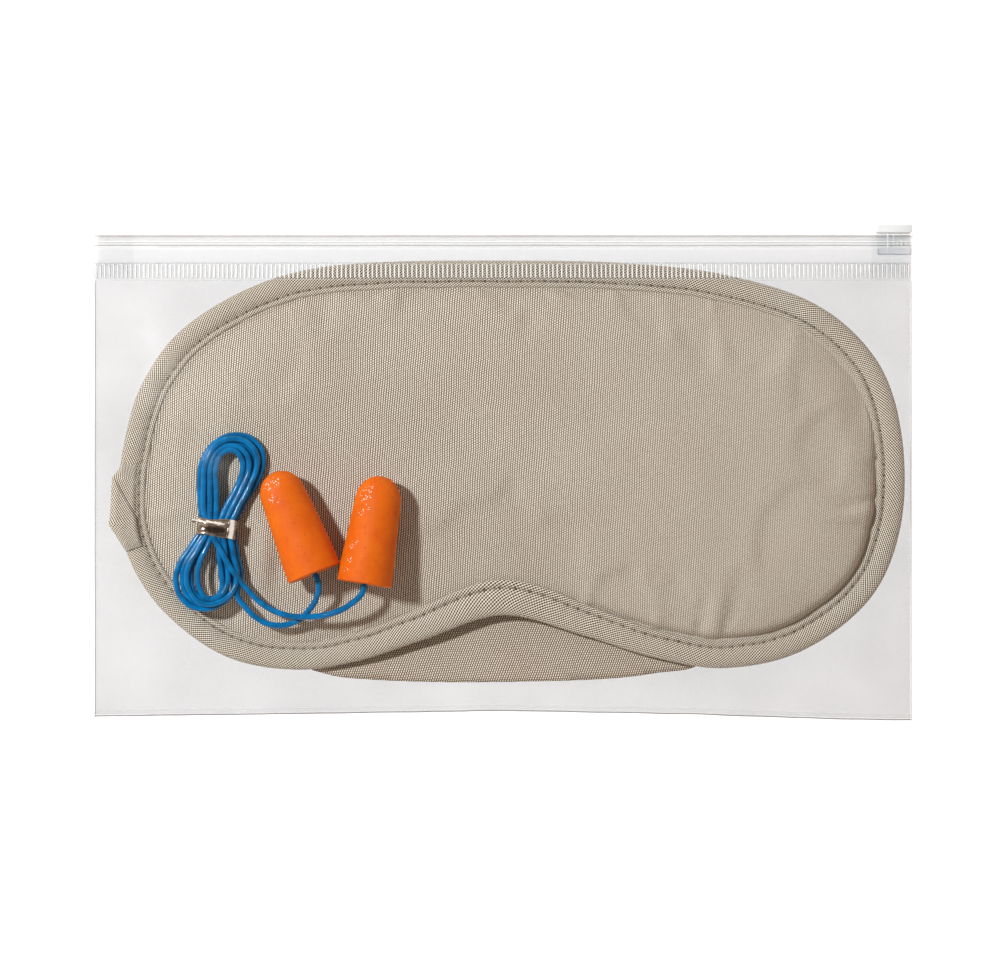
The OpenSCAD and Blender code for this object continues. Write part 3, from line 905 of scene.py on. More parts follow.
def blow_up(points, faces, heights):
    """Heights of the face after its cloth has been pushed out by the pad: a cloth pinned
    at the seam, cut a little too large, with pressure under it."""
    probe = make("face_probe", np.column_stack([points, heights]), faces)
    pins = probe.vertex_groups.new(name="pins")
    pins.add(list(range(FACE_RIM)), 1.0, "REPLACE")
    cloth_mod = probe.modifiers.new("cloth", "CLOTH")
    cloth_mod.collision_settings.use_collision = False
    cloth_mod.settings.effector_weights.gravity = 0
    put(
        cloth_mod.settings, vertex_group_mass="pins", quality=6, mass=0.05,
        tension_stiffness=12, compression_stiffness=12, shear_stiffness=4,
        bending_stiffness=0.08, shrink_min=-0.03, use_pressure=True, uniform_pressure_force=1.2,
    )
    for step in range(1, SETTLE_FRAMES + 1):
        bpy.context.scene.frame_set(step)
    deps = bpy.context.evaluated_depsgraph_get()
    moved = probe.evaluated_get(deps).data
    co = np.empty(len(moved.vertices) * 3)
    moved.vertices.foreach_get("co", co)
    after = co.reshape(-1, 3)[:, 2] / MM
    bpy.context.scene.frame_set(1)
    bpy.data.objects.remove(probe)
    return heights + np.clip(after - heights, -MOST_MOVED, MOST_MOVED)


face_top = blow_up(face_points, face_tris, face_top)
face_top += puckers(face_points, face_far) + face_plump
face_top[:FACE_RIM] = SEAM_Z - TRENCH * plump[:FACE_RIM]
face_top += lifts(face_points) * np.exp(-face_far / 9.0)
face_top += lumps(face_points)
mask_face = pillow(
    "mask_face_cloth", face_points, face_tris, FACE_RIM, face_top, FACE_LOW[2], face_cloth,
)

# the foam fills the face's hollow, and stays a little under its lowest spot nearby
pad_line, _ = even(inset(EDGE, BIND_W + 0.5), 200)
pad_points, pad_tris, pad_far = filled(pad_line, 4.0)
pad_low = LINING_HIGH[2] + 0.05
pad_top = pad_low + 0.4 + (FACE_TOP - 1.9 - pad_low) * crown(pad_far)
over_pad = np.array([
    face_top[np.linalg.norm(face_points - p, axis=1) < 4.5].min() for p in pad_points
])
pad_top = np.maximum(np.minimum(pad_top, over_pad - 0.6), pad_low + 0.3)
pad = pillow("mask_foam_pad", pad_points, pad_tris, len(pad_line), pad_top, pad_low, pad_foam)

lining_line, _ = even(inset(EDGE, BIND_W - 2), 300)
lining_points, lining_tris, _ = filled(lining_line, 2.5)
lining_dip = 0.12 * wobbles(lining_points, 11.0, 5.0)
lining = pillow(
    "mask_lining_cloth", lining_points, lining_tris, len(lining_line),
    LINING_HIGH[2], LINING_LOW[2] + 0.1 + lining_dip, lining_cloth,
)

# ---------------------------------------------------------------- mask: bound edge

STITCHES = round(EDGE_RUN / STITCH_PITCH)
STEP = EDGE_RUN / STITCHES


def bound_edge():
    """The binding tape round the mask's edge, pulled in at each needle hole and puffed up
    between them, and its rows of points."""
    count = len(EDGE)
    out = inward(EDGE)
    wide = widths(EDGE)
    rows = np.array([
        np.column_stack([EDGE + out * (d * wide)[:, None], np.full(count, z)]) for d, z in PROFILE
    ])
    rows[:, :, 2] += lifts(EDGE)[None, :]
    for c in range(count):
        run = c * EDGE_RUN / count
        phase = (run / STEP - 0.5) % 1.0
        pull = 1 - min(min(phase, 1 - phase) * STEP / 0.9, 1)
        puff = 0.10 * rough(run / 3.1, 0, 0) + 0.16 * rough(run / 14, 5, 0)
        rows[:12, c, :2] += out[c] * 0.22 * rough(run / 9.0, 2, 7)
        for r in range(OUTER_AT):
            near = bell(PROFILE[r][0] - STITCH_W, 0.75)
            rows[r, c, 2] -= 0.22 * pull * near
            if r > 1:
                rows[r, c, 2] += puff * (1 - near)
    uv = [[(c * EDGE_RUN / count, v) for c in range(count + 1)] for v in PROFILE_RUN]
    uv.append([(c * EDGE_RUN / count, PROFILE_RUN[-1] + 1.0) for c in range(count + 1)])
    obj = sheet_object("edge_binding_tape", rows, uv, tape_cloth, closed=True, wrap=True)
    return obj, rows


binding, binding_rows = bound_edge()
GROOVE = binding_rows[STITCH_AT]


def stitch_line():
    """Lock stitches in the groove of the binding: short threads between needle holes."""
    count = len(EDGE)
    parts = []
    sides = 6
    radius = 0.14
    points = 7
    arch = np.sin(np.linspace(0, math.pi, points))
    run = np.arange(count + 1) * EDGE_RUN / count
    groove = np.vstack([GROOVE, GROOVE[:1]])
    for k in range(STITCHES):
        middle = (k + 1) * STEP
        at = np.linspace(middle - 1.12, middle + 1.12, points) % EDGE_RUN
        line = np.stack([np.interp(at, run, groove[:, a]) for a in range(3)], axis=1)
        line[:, 2] += 0.22 * arch - 0.12
        along = directions(line)
        side = np.cross(along, (0, 0, 1))
        up = np.cross(side, along)
        ring = [
            line + radius * (0.55 + 0.45 * arch)[:, None] * (math.cos(a) * side + math.sin(a) * up)
            for a in np.arange(sides) * 2 * math.pi / sides
        ]
        parts.append(sheet(np.stack(ring, axis=1), wrap=True)[:2])
    return make("edge_stitches", *joined(parts), None, thread)


stitches = stitch_line()

# how far the lapped end stands out past the mask's edge: (y, distance) pairs
FOLD_BULGE = [
    (-20.5, 0), (-18, 0.75), (-15.5, 1.7), (-13.2, 2.9), (-11.5, 2.4), (-8.5, 2), (-4, 1.8),
    (-1.8, 1.7), (0, 0.4), (1.2, 0),
]
CREASE = ((-94.2, -6.5), (-90.7, -12.7))  # a fold across it


def lapped_end():
    """The free end of the binding tape, turned under and sewn down over its start."""
    pick = [i for i in range(len(EDGE)) if EDGE[i][0] < -80 and -20.5 < EDGE[i][1] < 2.5]
    pick.sort(key=lambda i: EDGE[i][1])
    line = EDGE[pick]
    ys = np.linspace(line[0][1], line[-1][1], 90)
    xs, nx, ny = (
        np.interp(ys, line[:, 1], values) for values in (line[:, 0], *inward(EDGE)[pick].T)
    )
    bulge = np.interp(ys, *zip(*FOLD_BULGE))
    across = 30
    inner = 4.3
    (ax, ay), (bx, by) = CREASE
    cols = []
    for k in range(len(ys)):
        upper, lower = [], []
        for f in np.linspace(0, 1, across):
            d = inner - f * (inner + bulge[k])
            x = xs[k] + nx[k] * d
            y = ys[k] + ny[k] * d
            roll = math.sqrt(max(0.0, 1 - (max(f - 0.7, 0) / 0.3) ** 2))
            ends = min(1.0, (ys[k] - ys[0]) / 1.5, (ys[-1] - ys[k]) / 1.2)
            step_in = min(1.0, f / 0.1)
            side = ((bx - ax) * (y - ay) - (by - ay) * (x - ax)) / math.hypot(bx - ax, by - ay)
            below = 1 / (1 + math.exp(side / 0.14))
            lift = 0.2 + 0.75 * below - 0.45 * bell(side, 0.25)
            top = BIND_TOP + 0.25 + lift + 0.15 * wobble((x, y), 2.6, 3.3)
            z = BIND_MID + (top - BIND_MID) * roll * (0.78 + 0.22 * ends * step_in)
            upper.append((x, y, z))
            lower.append((x, y, BIND_MID - (BIND_MID - BINDING_LOW[2] + 0.1) * roll))
        cols.append(upper + lower[::-1][1:])
    rows = np.array(cols).transpose(1, 0, 2)
    uv = [[(y, r * 0.25) for y in ys] for r in range(len(rows) + 1)]
    return sheet_object("binding_lapped_end", rows, uv, fold_cloth, closed=True)


fold = lapped_end()

# ---------------------------------------------------------------- mask: flap and strap

flap_line, _ = even(curve(FLAP_EDGE, 12, closed=True), 260)
flap_points, flap_tris, flap_far = filled(flap_line, 1.6)
flap_wave = 0.22 * wobbles(flap_points, 12.0, 9.0) * clamp(flap_far / 3)
flap_hem = 0.12 * bell(flap_far - 1.6, 0.8)
flap_thin = clamp(1 - flap_far / 0.3) * 0.18
# the flap slopes down to its free edge
FLAP_THICK = 0.5
flap_slope = (FLAP_HIGH[2] - FLAP_LOW[2] - FLAP_THICK) / (FLAP_HIGH[1] - FLAP_LOW[1])
flap_low = FLAP_LOW[2] + (np.minimum(flap_points[:, 1], FLAP_HIGH[1]) - FLAP_LOW[1]) * flap_slope
flap = pillow(
    "nose_flap_cloth", flap_points, flap_tris, len(flap_line),
    flap_low + FLAP_THICK + flap_wave + flap_hem - flap_thin,
    flap_low + flap_wave * 0.6 + flap_thin, flap_cloth,
)


def folded_strap():
    """Elastic strap folded in three behind the mask."""
    half = 0.2
    levels = [0.55, 1.13, 1.71]
    line = [(-94, levels[2])]
    line += [(x, levels[2]) for x in np.arange(-90, 45, 5)]
    line += [(45.6, levels[2] - 0.03), (45.95, 1.42), (45.6, levels[1] + 0.03)]
    line += [(x, levels[1]) for x in np.arange(42, -45, -5)]
    line += [(-45.6, levels[1] - 0.03), (-45.95, 0.84), (-45.6, levels[0] + 0.03)]
    line += [(x, levels[0]) for x in np.arange(-42, 79, 5)]
    line += [(82, 0.85), (86, 1.5), (90, levels[2]), (95, levels[2])]
    line = np.array(line, float)
    run = run_along(line)
    along = directions(line)
    normal = np.column_stack([-along[:, 1], along[:, 0]])
    section = [
        (-0.5, 0), (-0.49, 0.8), (-0.46, 1), (-0.2, 0.92), (0, 1), (0.2, 0.92), (0.46, 1), (0.49, 0.8),
    ]
    section += [(0.5, 0)] + [(-s, -t) for s, t in section[1:]]
    width = STRAP_HIGH[1] - STRAP_LOW[1]
    middle = (STRAP_HIGH[1] + STRAP_LOW[1]) / 2
    rows, uv = [], []
    for s, t in section:
        y = middle + s * width + 0.2 * np.array([wobble((r, 0), 30.0, 1.0) for r in run])
        rows.append(np.insert(line + normal * half * t, 1, y, axis=1))
        uv.append([(r, s * width) for r in run])
    uv.append(uv[0])
    obj = sheet_object("strap_elastic", rows, uv, elastic, closed=True)
    return obj, float(run[-1]), width


strap, strap_run, strap_width = folded_strap()

# ---------------------------------------------------------------- ear plugs

# (distance from the flat end, radius) pairs along a plug's side
PLUG_SIDE = [
    (0, 0.75), (-0.05, 1.2), (-0.1, 3.5), (-0.06, 6.2), (0.0, 6.6), (0.18, 6.8), (0.6, PLUG_R),
    (3.0, PLUG_R), (6.0, 6.68), (10.0, 6.42), (14.0, 6.15), (18.0, 5.9), (20.6, PLUG_TIP_R),
]


def ear_plug(name, base_x, base_y, base_z, turn, seed):
    """A bell-shaped foam plug with a round end and a small hole for the cord."""
    profile = [(1.6, 0.72)] + list(curve(PLUG_SIDE, 4))
    dome = 15
    start = PLUG_SIDE[-1][0]
    for k in range(1, dome):
        ca, sa = unit(k / dome * math.pi / 2)
        profile.append((start + (PLUG_LEN - start) * sa, PLUG_TIP_R * ca**0.92))
    around = 72
    c, s = unit(math.radians(turn))
    tilt_c, tilt_s = unit(PLUG_TILT)
    rows = []
    for along, r in profile:
        ring = []
        for k in range(around):
            a = 2 * math.pi * k / around
            ca, sa = unit(a)
            p = Vector((ca * r, along, sa * r))
            skin = 0.10 * rough(*(p / 4.5 + Vector((seed, 0, 0))))
            skin += 0.035 * rough(*(p / 1.1 + Vector((0, seed, 0))))
            rr = r + (skin if r > 2 else 0)
            dent = 1 - 0.02 * math.sin(along / 5 + seed) * math.cos(a - 1)
            x, z = ca * rr * dent, min(sa * rr, PLUG_R)
            far, up = along * tilt_c + z * tilt_s, z * tilt_c - along * tilt_s
            ring.append((base_x + x * c - far * s, base_y + x * s + far * c, base_z + up))
        rows.append(ring)
    verts, faces, _ = sheet(np.array(rows), wrap=True)
    far = PLUG_LEN * tilt_c
    tip = (base_x - far * s, base_y + far * c, base_z - PLUG_LEN * tilt_s)
    verts = np.vstack([verts, [tip]])
    last = (len(profile) - 1) * around
    faces += [[last + k, last + (k + 1) % around, len(verts) - 1] for k in range(around)]
    faces.append(list(range(around)))
    return make(name, verts, faces, None, plug_foam, closed=True)


plug_left = ear_plug("foam_plug_left", *PLUG_LEFT, 2.0)
plug_right = ear_plug("foam_plug_right", *PLUG_RIGHT, 7.0)

# ---------------------------------------------------------------- twist tie


def foil_band():
    """Flat foil tie wrapped once round the hank, with its ends lapped on the right."""
    low, high = TIE_LOW[2] - 0.05, TIE_HIGH[2] + 0.05
    mid_x, mid_y = TIE_MIDDLE
    half_x, half_z = 5.0, (high - low) / 2
    mid_z = (high + low) / 2
    wide = 4.3
    loop_points = 96
    power = 2.7  # of the rounded rectangle that the band follows
    c, s = unit(TIE_TURN)

    def spot(x, y, z):
        return mid_x + x * c - y * s, mid_y + x * s + y * c, z

    rows = []
    for f in np.linspace(-0.5, 0.5, 15):
        ridge = 0.9 * bell(f - 0.22, 0.11) - 0.45 * bell(f + 0.12, 0.2)
        ring = []
        for k in range(loop_points):
            a = 2 * math.pi * k / loop_points
            ca, sa = unit(a)
            r = (abs(ca) ** power + abs(sa) ** power) ** (-1 / power)
            x, z = half_x * ca * r, half_z * sa * r
            crumple = 0.16 * rough(k / 13.0, f * 2.2, 3.0) + 0.05 * rough(k / 4.0, f * 5, 8.0)
            lift = ridge * (0.6 + rough(k / 12.0, 1, 5)) + crumple
            y = f * wide * (1 - 0.12 * math.sin(a) * math.cos(3 * a)) + 0.15 * math.sin(k / 7)
            x, z = x + lift * ca * 0.6, z + lift * sa
            ring.append(spot(x, y, mid_z + z))
        rows.append(ring)
    lap = []
    for f in np.linspace(-0.52, 0.52, 15):
        row = []
        for t in np.linspace(0, 1, 14):
            x = 2.7 + 2.2 * t
            up = 0.5 * (1 - t) ** 2 * (0.7 + 0.6 * rough(f * 3, t, 2))
            up += 0.28 - 0.9 * max(t - 0.75, 0)
            row.append(spot(x, f * wide * (1 + 0.06 * t), high + up))
        lap.append(row)
    parts = [sheet(rows, wrap=True)[:2], sheet(lap)[:2]]
    band = make("foil_tie_band", *joined(parts), None, foil)
    put(band.modifiers.new("thick", "SOLIDIFY"), thickness=0.12 * MM, offset=1)
    return band


tie_band = foil_band()
TIE_END = [
    (-75.6, -12.9, 12.9), (-76.2, -12.4, 12.8), (-76.5, -12.9, 12.3), (-76.9, -12.3, 12.2),
    (-77.1, -12.8, 11.8),
]
tie_wire = tube_curve("foil_tie_twist", TIE_END, 0.22)
tie_wire.data.materials.append(foil)
cord.data.materials.append(vinyl)

# ---------------------------------------------------------------- film over the contents

FILM_X = np.linspace(-SIDE_X, SIDE_X, 207)
FILM_Y = np.arange(-63.0, TRACK_Y0 + 0.51, 1.0)
FILM_STEP = FILM_X[1] - FILM_X[0]
FILM_GAP = 0.45  # between the film and what it lies on
SETTLE_STEPS = 2500
BOTTOM_LINE = [(-102.4, -61.6), (-60, -61.1), (0, -60.2), (45, -61), (80, -62.2), (102.4, -62.6)]


def bottom_y(x):
    """The pouch's wavy lower edge."""
    return float(np.interp(x, *zip(*BOTTOM_LINE))) + 0.12 * wobble((x, 0), 9.0, 4.0)


def settled_film():
    """Height of the front film: a tight skin over everything in the pouch."""
    nx, ny = len(FILM_X), len(FILM_Y)
    under = np.zeros((ny, nx))

    def press(points):
        """Raises the grid around each point to the height of the film over it."""
        i = np.rint((points[:, 0] - FILM_X[0]) / FILM_STEP).astype(int)
        j = np.rint(points[:, 1] - FILM_Y[0]).astype(int)
        for di in (-1, 0, 1):
            for dj in (-1, 0, 1):
                a = np.clip(i + di, 0, nx - 1)
                b = np.clip(j + dj, 0, ny - 1)
                np.maximum.at(under, (b, a), points[:, 2] + FILM_GAP)

    for obj in (mask_face, binding, fold, flap, plug_left, plug_right, tie_band):
        co = np.empty(len(obj.data.vertices) * 3)
        obj.data.vertices.foreach_get("co", co)
        press(co.reshape(-1, 3) / MM)
    press(curve(route, 4) + [0, 0, CORD_R])
    fixed = np.zeros((ny, nx), bool)
    level = np.zeros((ny, nx))
    for i, x in enumerate(FILM_X):
        seam = FILM_Y < bottom_y(x) + 1.2
        fixed[seam, i] = True
        level[seam, i] = 0.3
    top_z = np.interp(np.abs(FILM_X), [0, 86, SIDE_X], [3.4, 3.3, 2.2])
    fixed[-2:, :] = True
    level[-2:, :] = top_z
    rise = clamp((FILM_Y - 44) / 10) * 2.0
    for side in (0, -1):
        fixed[:, side] = True
        level[:, side] = 0.3 + rise
    z = np.maximum(under, level)
    z[fixed] = level[fixed]
    for _ in range(SETTLE_STEPS):
        mean = z.copy()
        mean[1:-1, 1:-1] = 0.25 * (z[:-2, 1:-1] + z[2:, 1:-1] + z[1:-1, :-2] + z[1:-1, 2:])
        z = np.where(fixed, level, np.maximum(mean, under))
    for _ in range(3):
        z[1:-1, 1:-1] = 0.2 * (
            z[1:-1, 1:-1] + z[:-2, 1:-1] + z[2:, 1:-1] + z[1:-1, :-2] + z[1:-1, 2:]
        )
    return np.maximum(z, under - 0.2)


FILM_Z = settled_film()


def film_height(x, y):
    """Height of the settled film at any spot."""
    i = min(max((x - FILM_X[0]) / FILM_STEP, 0), len(FILM_X) - 1.001)
    j = min(max(y - FILM_Y[0], 0), len(FILM_Y) - 1.001)
    a, b = int(i), int(j)
    u, v = i - a, j - b
    low = FILM_Z[b, a] * (1 - u) + FILM_Z[b, a + 1] * u
    high = FILM_Z[b + 1, a] * (1 - u) + FILM_Z[b + 1, a + 1] * u
    return low * (1 - v) + high * v


def film_sheet(name, x0, x1, height):
    """One film panel between two x positions, from the wavy bottom edge up to the zip."""
    rows, uv = [], []
    for t in np.linspace(0, 1, 112):
        row = []
        for x in np.linspace(x0, x1, round(x1 - x0) + 1):
            low = bottom_y(x)
            y = low + t * (TRACK_Y0 - low)
            row.append((x, y, height(x, y)))
        rows.append(row)
        uv.append([p[:2] for p in row])
    return sheet_object(name, rows, uv, film)


def front_height(x, y):
    """Height of the front film, which ripples a little away from its welds."""
    free = min(1.0, (SIDE_X - abs(x)) / 6, (y - bottom_y(x)) / 6)
    return film_height(x, y) + 0.12 * (1 + wobble((x, y * 0.6), 13.0, 6.0)) * max(free, 0)


def back_height(x, y):
    """Height of the back film, which rises to the zip."""
    lie = 0.06 + 0.12 * (1 + wobble((x, y), 21.0, 12.0)) * min(1, (SIDE_X - abs(x)) / 5)
    flange = clamp((y - FLANGE_Y0) / 6) * 1.25
    return lie * (1 - 0.7 * (abs(x) < 98 and abs(y) < 50)) + flange


film_left = film_sheet("front_film_left", -SIDE_X, 0, front_height)
film_right = film_sheet("front_film_right", 0, SIDE_X, front_height)
film_back = film_sheet("back_film", -SIDE_X, SIDE_X, back_height)

# ---------------------------------------------------------------- zip, ribs and welds


def zip_strip(name, x0, x1, section):
    """A profile of (y, z) pairs run along the zip."""
    xs = np.linspace(x0, x1, int((x1 - x0) / 2) + 1)
    rows, uv = [], []
    for y, z in section:
        rows.append([(x, y + 0.06 * wobble((x, 0), 17.0, 2.0), z) for x in xs])
        uv.append([(x, y) for x in xs])
    return sheet_object(name, rows, uv, zip_film)


# cross-sections of the two zip profiles: (y, z) pairs from the lower edge up
FRONT_ZIP = [
    (55.75, 3.42), (56.1, 3.45), (56.3, 3.3), (56.5, 3.75), (56.7, 3.8), (56.85, 3.4), (57.05, 3.4),
    (57.2, 3.8), (57.35, 3.8), (57.5, 3.35), (57.7, 3.4), (58.2, 3.6), (58.7, 3.62), (59.0, 3.75),
    (59.2, 3.7), (59.3, 3.4), (59.3, 2.45),
]
BACK_ZIP = [
    (56.4, 1.2), (56.6, 0.95), (57.0, 1.2), (57.4, 0.95), (57.8, 1.2), (58.6, 1.0), (59.25, 1.2),
    (59.3, 1.4), (59.3, 2.3),
]
ZIP_X = SIDE_X - 0.3
zip_left = zip_strip("front_zip_left", -ZIP_X, 0, FRONT_ZIP)
zip_right = zip_strip("front_zip_right", 0, ZIP_X, FRONT_ZIP)
zip_back = zip_strip("back_zip", -ZIP_X, ZIP_X, BACK_ZIP)


def rib_band(name, x0, x1, height):
    """A row of raised weld ribs, joined in pairs at the top, with a fine line along each
    side of the row. U runs from -1 to 1 across a rib."""
    bars = round((x1 - x0) / RIB_PITCH)
    half, thick = 0.34, 0.2
    us = (-1, -0.6, 0, 0.6, 1)
    parts, uvs = [], []

    def strip(points, across):
        verts, faces, corners = sheet(points, across)
        parts.append((verts, faces))
        uvs.extend(corners)

    def line(y, wide, u):
        xs = np.linspace(x0, x1, bars + 1)
        rows = [[(x, y + side * wide, height(x, y) + 0.03) for x in xs] for side in (-1, 1)]
        strip(rows, [[(u, 0)] * len(xs)] * 2)

    for k in range(bars):
        x = x0 + (k + 0.5) * RIB_PITCH
        x += 0.06 * wobble((x, 0), 3.0, 1.0)
        y = BAND_Y0 + 0.06 * wobble((x, 0), 4.0, 3.0)
        top = y + BAND_H - 0.3
        ends = (y, 0.5), (y + 0.2, 1.0), (top - 0.2, 1.0), (top, 0.5)
        rows = [
            [(x + half * u * shrink, at, height(x, at) + thick * (1 - u * u)) for u in us]
            for at, shrink in ends
        ]
        strip(rows, [[(u, at) for u in us] for at, _ in ends])
        if k % 2:
            rows = [
                [(a, top + b, height(a, top) + 0.05) for a in (x - RIB_PITCH, x)]
                for b in (-0.18, 0.18)
            ]
            strip(rows, [[(0.5, 0)] * 2] * 2)
    line(BAND_Y0 + BAND_H, 0.08, 0.9)
    line(BAND_Y0 - 0.45, 0.06, 0.48)
    return make(name, *joined(parts), uvs, rib_film)


def front_skin(x, y):
    """Just over the front film."""
    return front_height(x, y) + 0.03


BAND_END = 93 * RIB_PITCH
ribs_left = rib_band("front_ribs_left", -BAND_END, 0, front_skin)
ribs_right = rib_band("front_ribs_right", 0, BAND_END, front_skin)
ribs_back = rib_band("back_ribs", -BAND_END, BAND_END, back_height)


def block(x0, y0, x1, y1, z0, z1, corner=0.3, edge=0.12, big=None, hollow=False):
    """A moulded block with round corners and edges. big is the radius of its upper left.
    A hollow one is open on the side away from the eye: z0 is then its open side."""
    big = big or corner
    corners = [
        (x1 - corner, y1 - corner, corner, 0), (x0 + big, y1 - big, big, 90),
        (x0 + corner, y0 + corner, corner, 180), (x1 - corner, y0 + corner, corner, 270),
    ]
    outline = [
        (cx, cy, r, *unit(math.radians(start + 15 * k)))
        for cx, cy, r, start in corners
        for k in range(7)
    ]
    rise = math.copysign(edge, z1 - z0)
    levels = (
        (z0, edge), (z0 + rise * 0.3, edge * 0.3), (z0 + rise, 0),
        (z1 - rise, 0), (z1 - rise * 0.3, edge * 0.3), (z1, edge),
    )
    rows = [
        [(cx + ca * max(r - inside, 0.01), cy + sa * max(r - inside, 0.01), z)
         for cx, cy, r, ca, sa in outline]
        for z, inside in levels
    ]
    verts, faces, _ = sheet(rows, wrap=True)
    n = len(outline)
    if not hollow:
        faces.append(list(range(n))[::-1])
    faces.append([len(verts) - n + k for k in range(n)])
    return verts, faces


def moulded(name, blocks, material):
    """Blocks as one moulding, with its sharp edges kept sharp."""
    obj = make(name, *joined(blocks), None, material, closed=True)
    split = obj.modifiers.new("edges", "EDGE_SPLIT")
    split.split_angle = math.radians(35)
    return obj


SL_X0, SL_X1 = SLIDER_LOW[0], SLIDER_HIGH[0]
SL_Y0, SL_Y1 = SLIDER_LOW[1], SLIDER_HIGH[1]
CAP_Y = 59.4
PLATE_LOW = 0.15
PLATE_TOP = 4.65
PLATE_THICK = 0.7
slider_body = moulded("slider_plates", [
    block(SL_X0, SL_Y0, SL_X1, CAP_Y, PLATE_TOP - PLATE_THICK, PLATE_TOP, hollow=True),
    block(SL_X0, SL_Y0, SL_X1, CAP_Y, PLATE_LOW + PLATE_THICK, PLATE_LOW, hollow=True),
], slider_plastic)
# the grip's ribs, whiter than the plates as painted highlights: middle in x, half width, y range,
# height and corner radius
GRIP_RIBS = [
    (96.3, 0.18, 54.5, CAP_Y - 0.1, 0.3, 0.15), (97.73, 0.11, 56.7, CAP_Y - 0.1, 0.2, 0.1),
    (98.65, 0.18, 56.3, 57.6, 0.2, 0.15), (99.7, 0.18, 56.3, 57.6, 0.2, 0.15),
    (100.75, 0.18, 56.3, 57.6, 0.2, 0.15),
]
slider_ribs = moulded("slider_grip_ribs", [
    block(x - half, y0, x + half, y1, PLATE_TOP - 0.05, PLATE_TOP + high, corner)
    for x, half, y0, y1, high, corner in GRIP_RIBS
], grip_rib_highlight_plastic)
slider_cap = moulded("slider_cap", [
    block(SL_X0 - 0.45, CAP_Y, SL_X1, SL_Y1, PLATE_LOW, PLATE_TOP + 0.15, 0.4, 0.3, 1.0),
], cap_plastic)


# cross-section of a pressed seam: (share of its width, height) pairs
SEAM_SECTION = [
    (0, 0.05), (0.03, 0.3), (0.15, 0.42), (0.5, 0.36), (0.85, 0.42), (1.0, 0.3), (1.02, 0.12),
]


def weld_strip(name, line, width, side, material):
    """A pressed seam: a narrow strip with a round bead, along a line of (x, y) points."""
    p = np.array(line, float)
    along = directions(p)
    across = np.column_stack([-along[:, 1], along[:, 0]]) * side
    rows = [
        np.column_stack([p + across * (width * f), np.full(len(p), z)]) for f, z in SEAM_SECTION
    ]
    uv = [[(r, f * width) for r in run_along(p)] for f, _ in SEAM_SECTION]
    return sheet_object(name, rows, uv, material)


def side_strip(name, x, side):
    """The pressed weld along one side of the pouch."""
    line = [(x, y) for y in np.linspace(bottom_y(x), FLANGE_Y0, 60)]
    return weld_strip(name, line, 0.9, side, side_weld)


bottom_line = [(x, bottom_y(x)) for x in np.linspace(-SIDE_X, SIDE_X, 160)]
weld_bottom = weld_strip("bottom_weld", bottom_line, 1.6, 1, weld)
weld_left = side_strip("side_weld_left", -SIDE_X, -1)
weld_right = side_strip("side_weld_right", SIDE_X, 1)

# ---------------------------------------------------------------- bodies

# each piece, its slot, the body it rides on and the CAD nodes it replaces
PIECES = [
    (mask_face, "mask_cloth", "mask", "mask_face"),
    (pad, "pad_foam", "mask", "mask_pad"),
    (lining, "mask_cloth", "mask", "mask_lining"),
    (binding, "binding_tape", "mask", "mask_binding"),
    (stitches, "thread", "mask", "mask_stitching"),
    (fold, "binding_tape", "mask", "binding_fold"),
    (flap, "mask_cloth", "mask", "nose_flap"),
    (strap, "elastic", "mask", "strap"),
    (cord, "cord", "earplugs", "cord_hank", "cord_lead_left", "cord_lead_right"),
    (plug_left, "plug_foam", "earplugs", "earplug_left"),
    (plug_right, "plug_foam", "earplugs", "earplug_right"),
    (tie_band, "foil", "earplugs", "twist_tie"),
    (tie_wire, "foil", "earplugs"),
    (film_back, "film", "pouch", "pouch_back_panel"),
    (zip_back, "zip", "pouch", "zip_track_back"),
    (ribs_back, "weld", "pouch", "weld_ribs_back"),
    (weld_bottom, "weld", "pouch", "bottom_seam"),
    (weld_left, "weld", "pouch", "side_seam_left"),
    (weld_right, "weld", "pouch", "side_seam_right"),
    (slider_body, "slider", "slider", "zip_slider"),
    (slider_ribs, "slider", "slider"),
    (slider_cap, "slider", "slider"),
]
for piece, slot, body, *nodes in PIECES:
    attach(piece, body)
    if nodes:
        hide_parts(*nodes)

# the front film, its zip and its ribs, each in two halves that keep their places and stand in for
# their CAD nodes
for left, right, slot, node in (
    (film_left, film_right, "film", "pouch_front_panel"),
    (zip_left, zip_right, "zip", "zip_track_front"),
    (ribs_left, ribs_right, "weld", "weld_ribs_front"),
):
    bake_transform(left)
    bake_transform(right)
    for piece in (left, right):
        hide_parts(node)

tuple(v * MM for v in PLUG_LEFT[:3])
strap_run * MM
strap_width * MM

# ---------------------------------------------------------------- carried-over CAD pieces

for node, material in {
    "zip_end_left": zip_end_film, "zip_end_right": zip_end_film,
    "strap_tack_left": thread, "strap_tack_right": thread,
}.items():
    slots = bpy.data.objects[node].data.materials
    slots.clear()
    slots.append(material)

# ---------------------------------------------------------------- floor and light


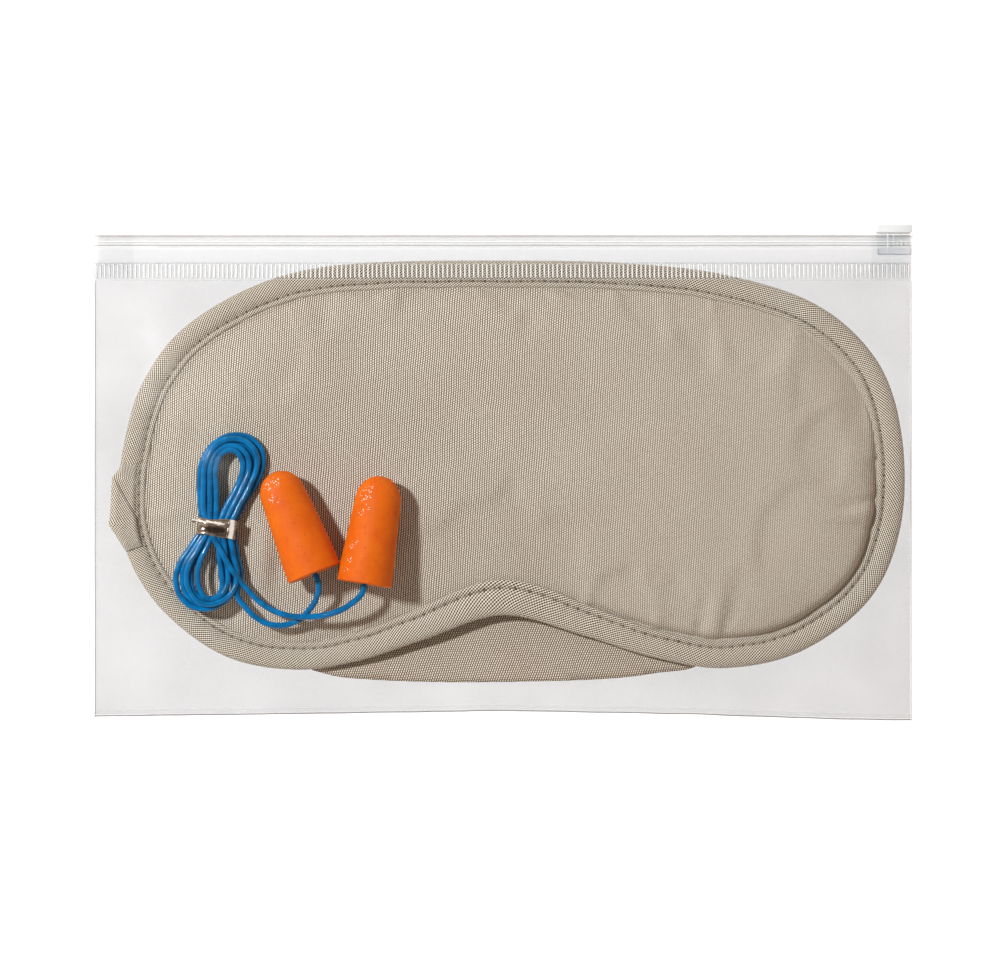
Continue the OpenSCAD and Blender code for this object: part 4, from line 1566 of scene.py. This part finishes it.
def floor():
    """The pale paper that the pouch lies on."""
    n = Nodes("floor_paper")
    grain = n.noise(n.place(), 1.5, 2.0)
    tone = n.mix(n.ramp(grain, 0.3, 0.7), (0.9, 0.9, 0.9, 1), (0.92, 0.92, 0.92, 1))
    paper = n.finish(Base_Color=tone, Roughness=0.9, Specular_IOR_Level=0.1)
    far = 900.0
    corners = [(-far, -far, 0), (far, -far, 0), (far, far, 0), (-far, far, 0)]
    obj = make("floor", corners, [(0, 1, 2, 3)], None, paper, smooth_faces=False)
    obj.location.z = -0.05 * MM
    return obj


paper = floor()
KEY_FROM = Vector((-0.63, 0.31, 1.0)).normalized()


def disk_light(name, direction, distance, size, watts, tint):
    """A round lamp, set off in a direction from the pouch and aimed back at it."""
    data = bpy.data.lights.new(name, "AREA")
    put(data, shape="DISK", size=size, energy=watts, color=tint)
    light = link(name, data)
    light.location = direction * distance
    light.rotation_euler = direction.to_track_quat("Z", "Y").to_euler()
    return light


key = disk_light("key", KEY_FROM, 1.7, 0.15, 35.8, (0.93, 0.98, 1.0))
sweep = disk_light("sweep", KEY_FROM, 1.9, 0.5, 50.2, (0.92, 0.955, 1.0))


def group(name, *pieces):
    """A collection of pieces, for light linking."""
    made = bpy.data.collections.new(name)
    for piece in pieces:
        made.objects.link(piece)
    return made


# the floor is lit on its own, past the mask and plugs, as a product shot's white sweep is
kept_out = group("key_receivers", paper)
kept_out.collection_objects[0].light_linking.link_state = "EXCLUDE"
key.light_linking.receiver_collection = kept_out
sweep.light_linking.receiver_collection = group("sweep_receivers", paper)
sweep.light_linking.blocker_collection = group(
    "sweep_blockers", film_left, film_right, film_back, weld_left, weld_right, weld_bottom, zip_back,
)


def studio():
    """A studio with bright walls and a darker ceiling."""
    world = bpy.data.worlds.new("World")
    bpy.context.scene.world = world
    world.use_nodes = True
    tree = world.node_tree
    back = tree.nodes["Background"]
    at = tree.nodes.new("ShaderNodeTexCoord")
    split = tree.nodes.new("ShaderNodeSeparateXYZ")
    fade = tree.nodes.new("ShaderNodeMapRange")
    tree.links.new(at.outputs["Generated"], split.inputs[0])
    tree.links.new(split.outputs[2], fade.inputs[0])
    for socket, value in zip(fade.inputs[1:5], (0.25, 0.95, 0.95, 0.2)):
        socket.default_value = value
    tree.links.new(fade.outputs[0], back.inputs["Strength"])
    back.inputs["Color"].default_value = (1.0, 0.85, 0.72, 1)


studio()
bpy.context.scene.view_settings.view_transform = "Standard"
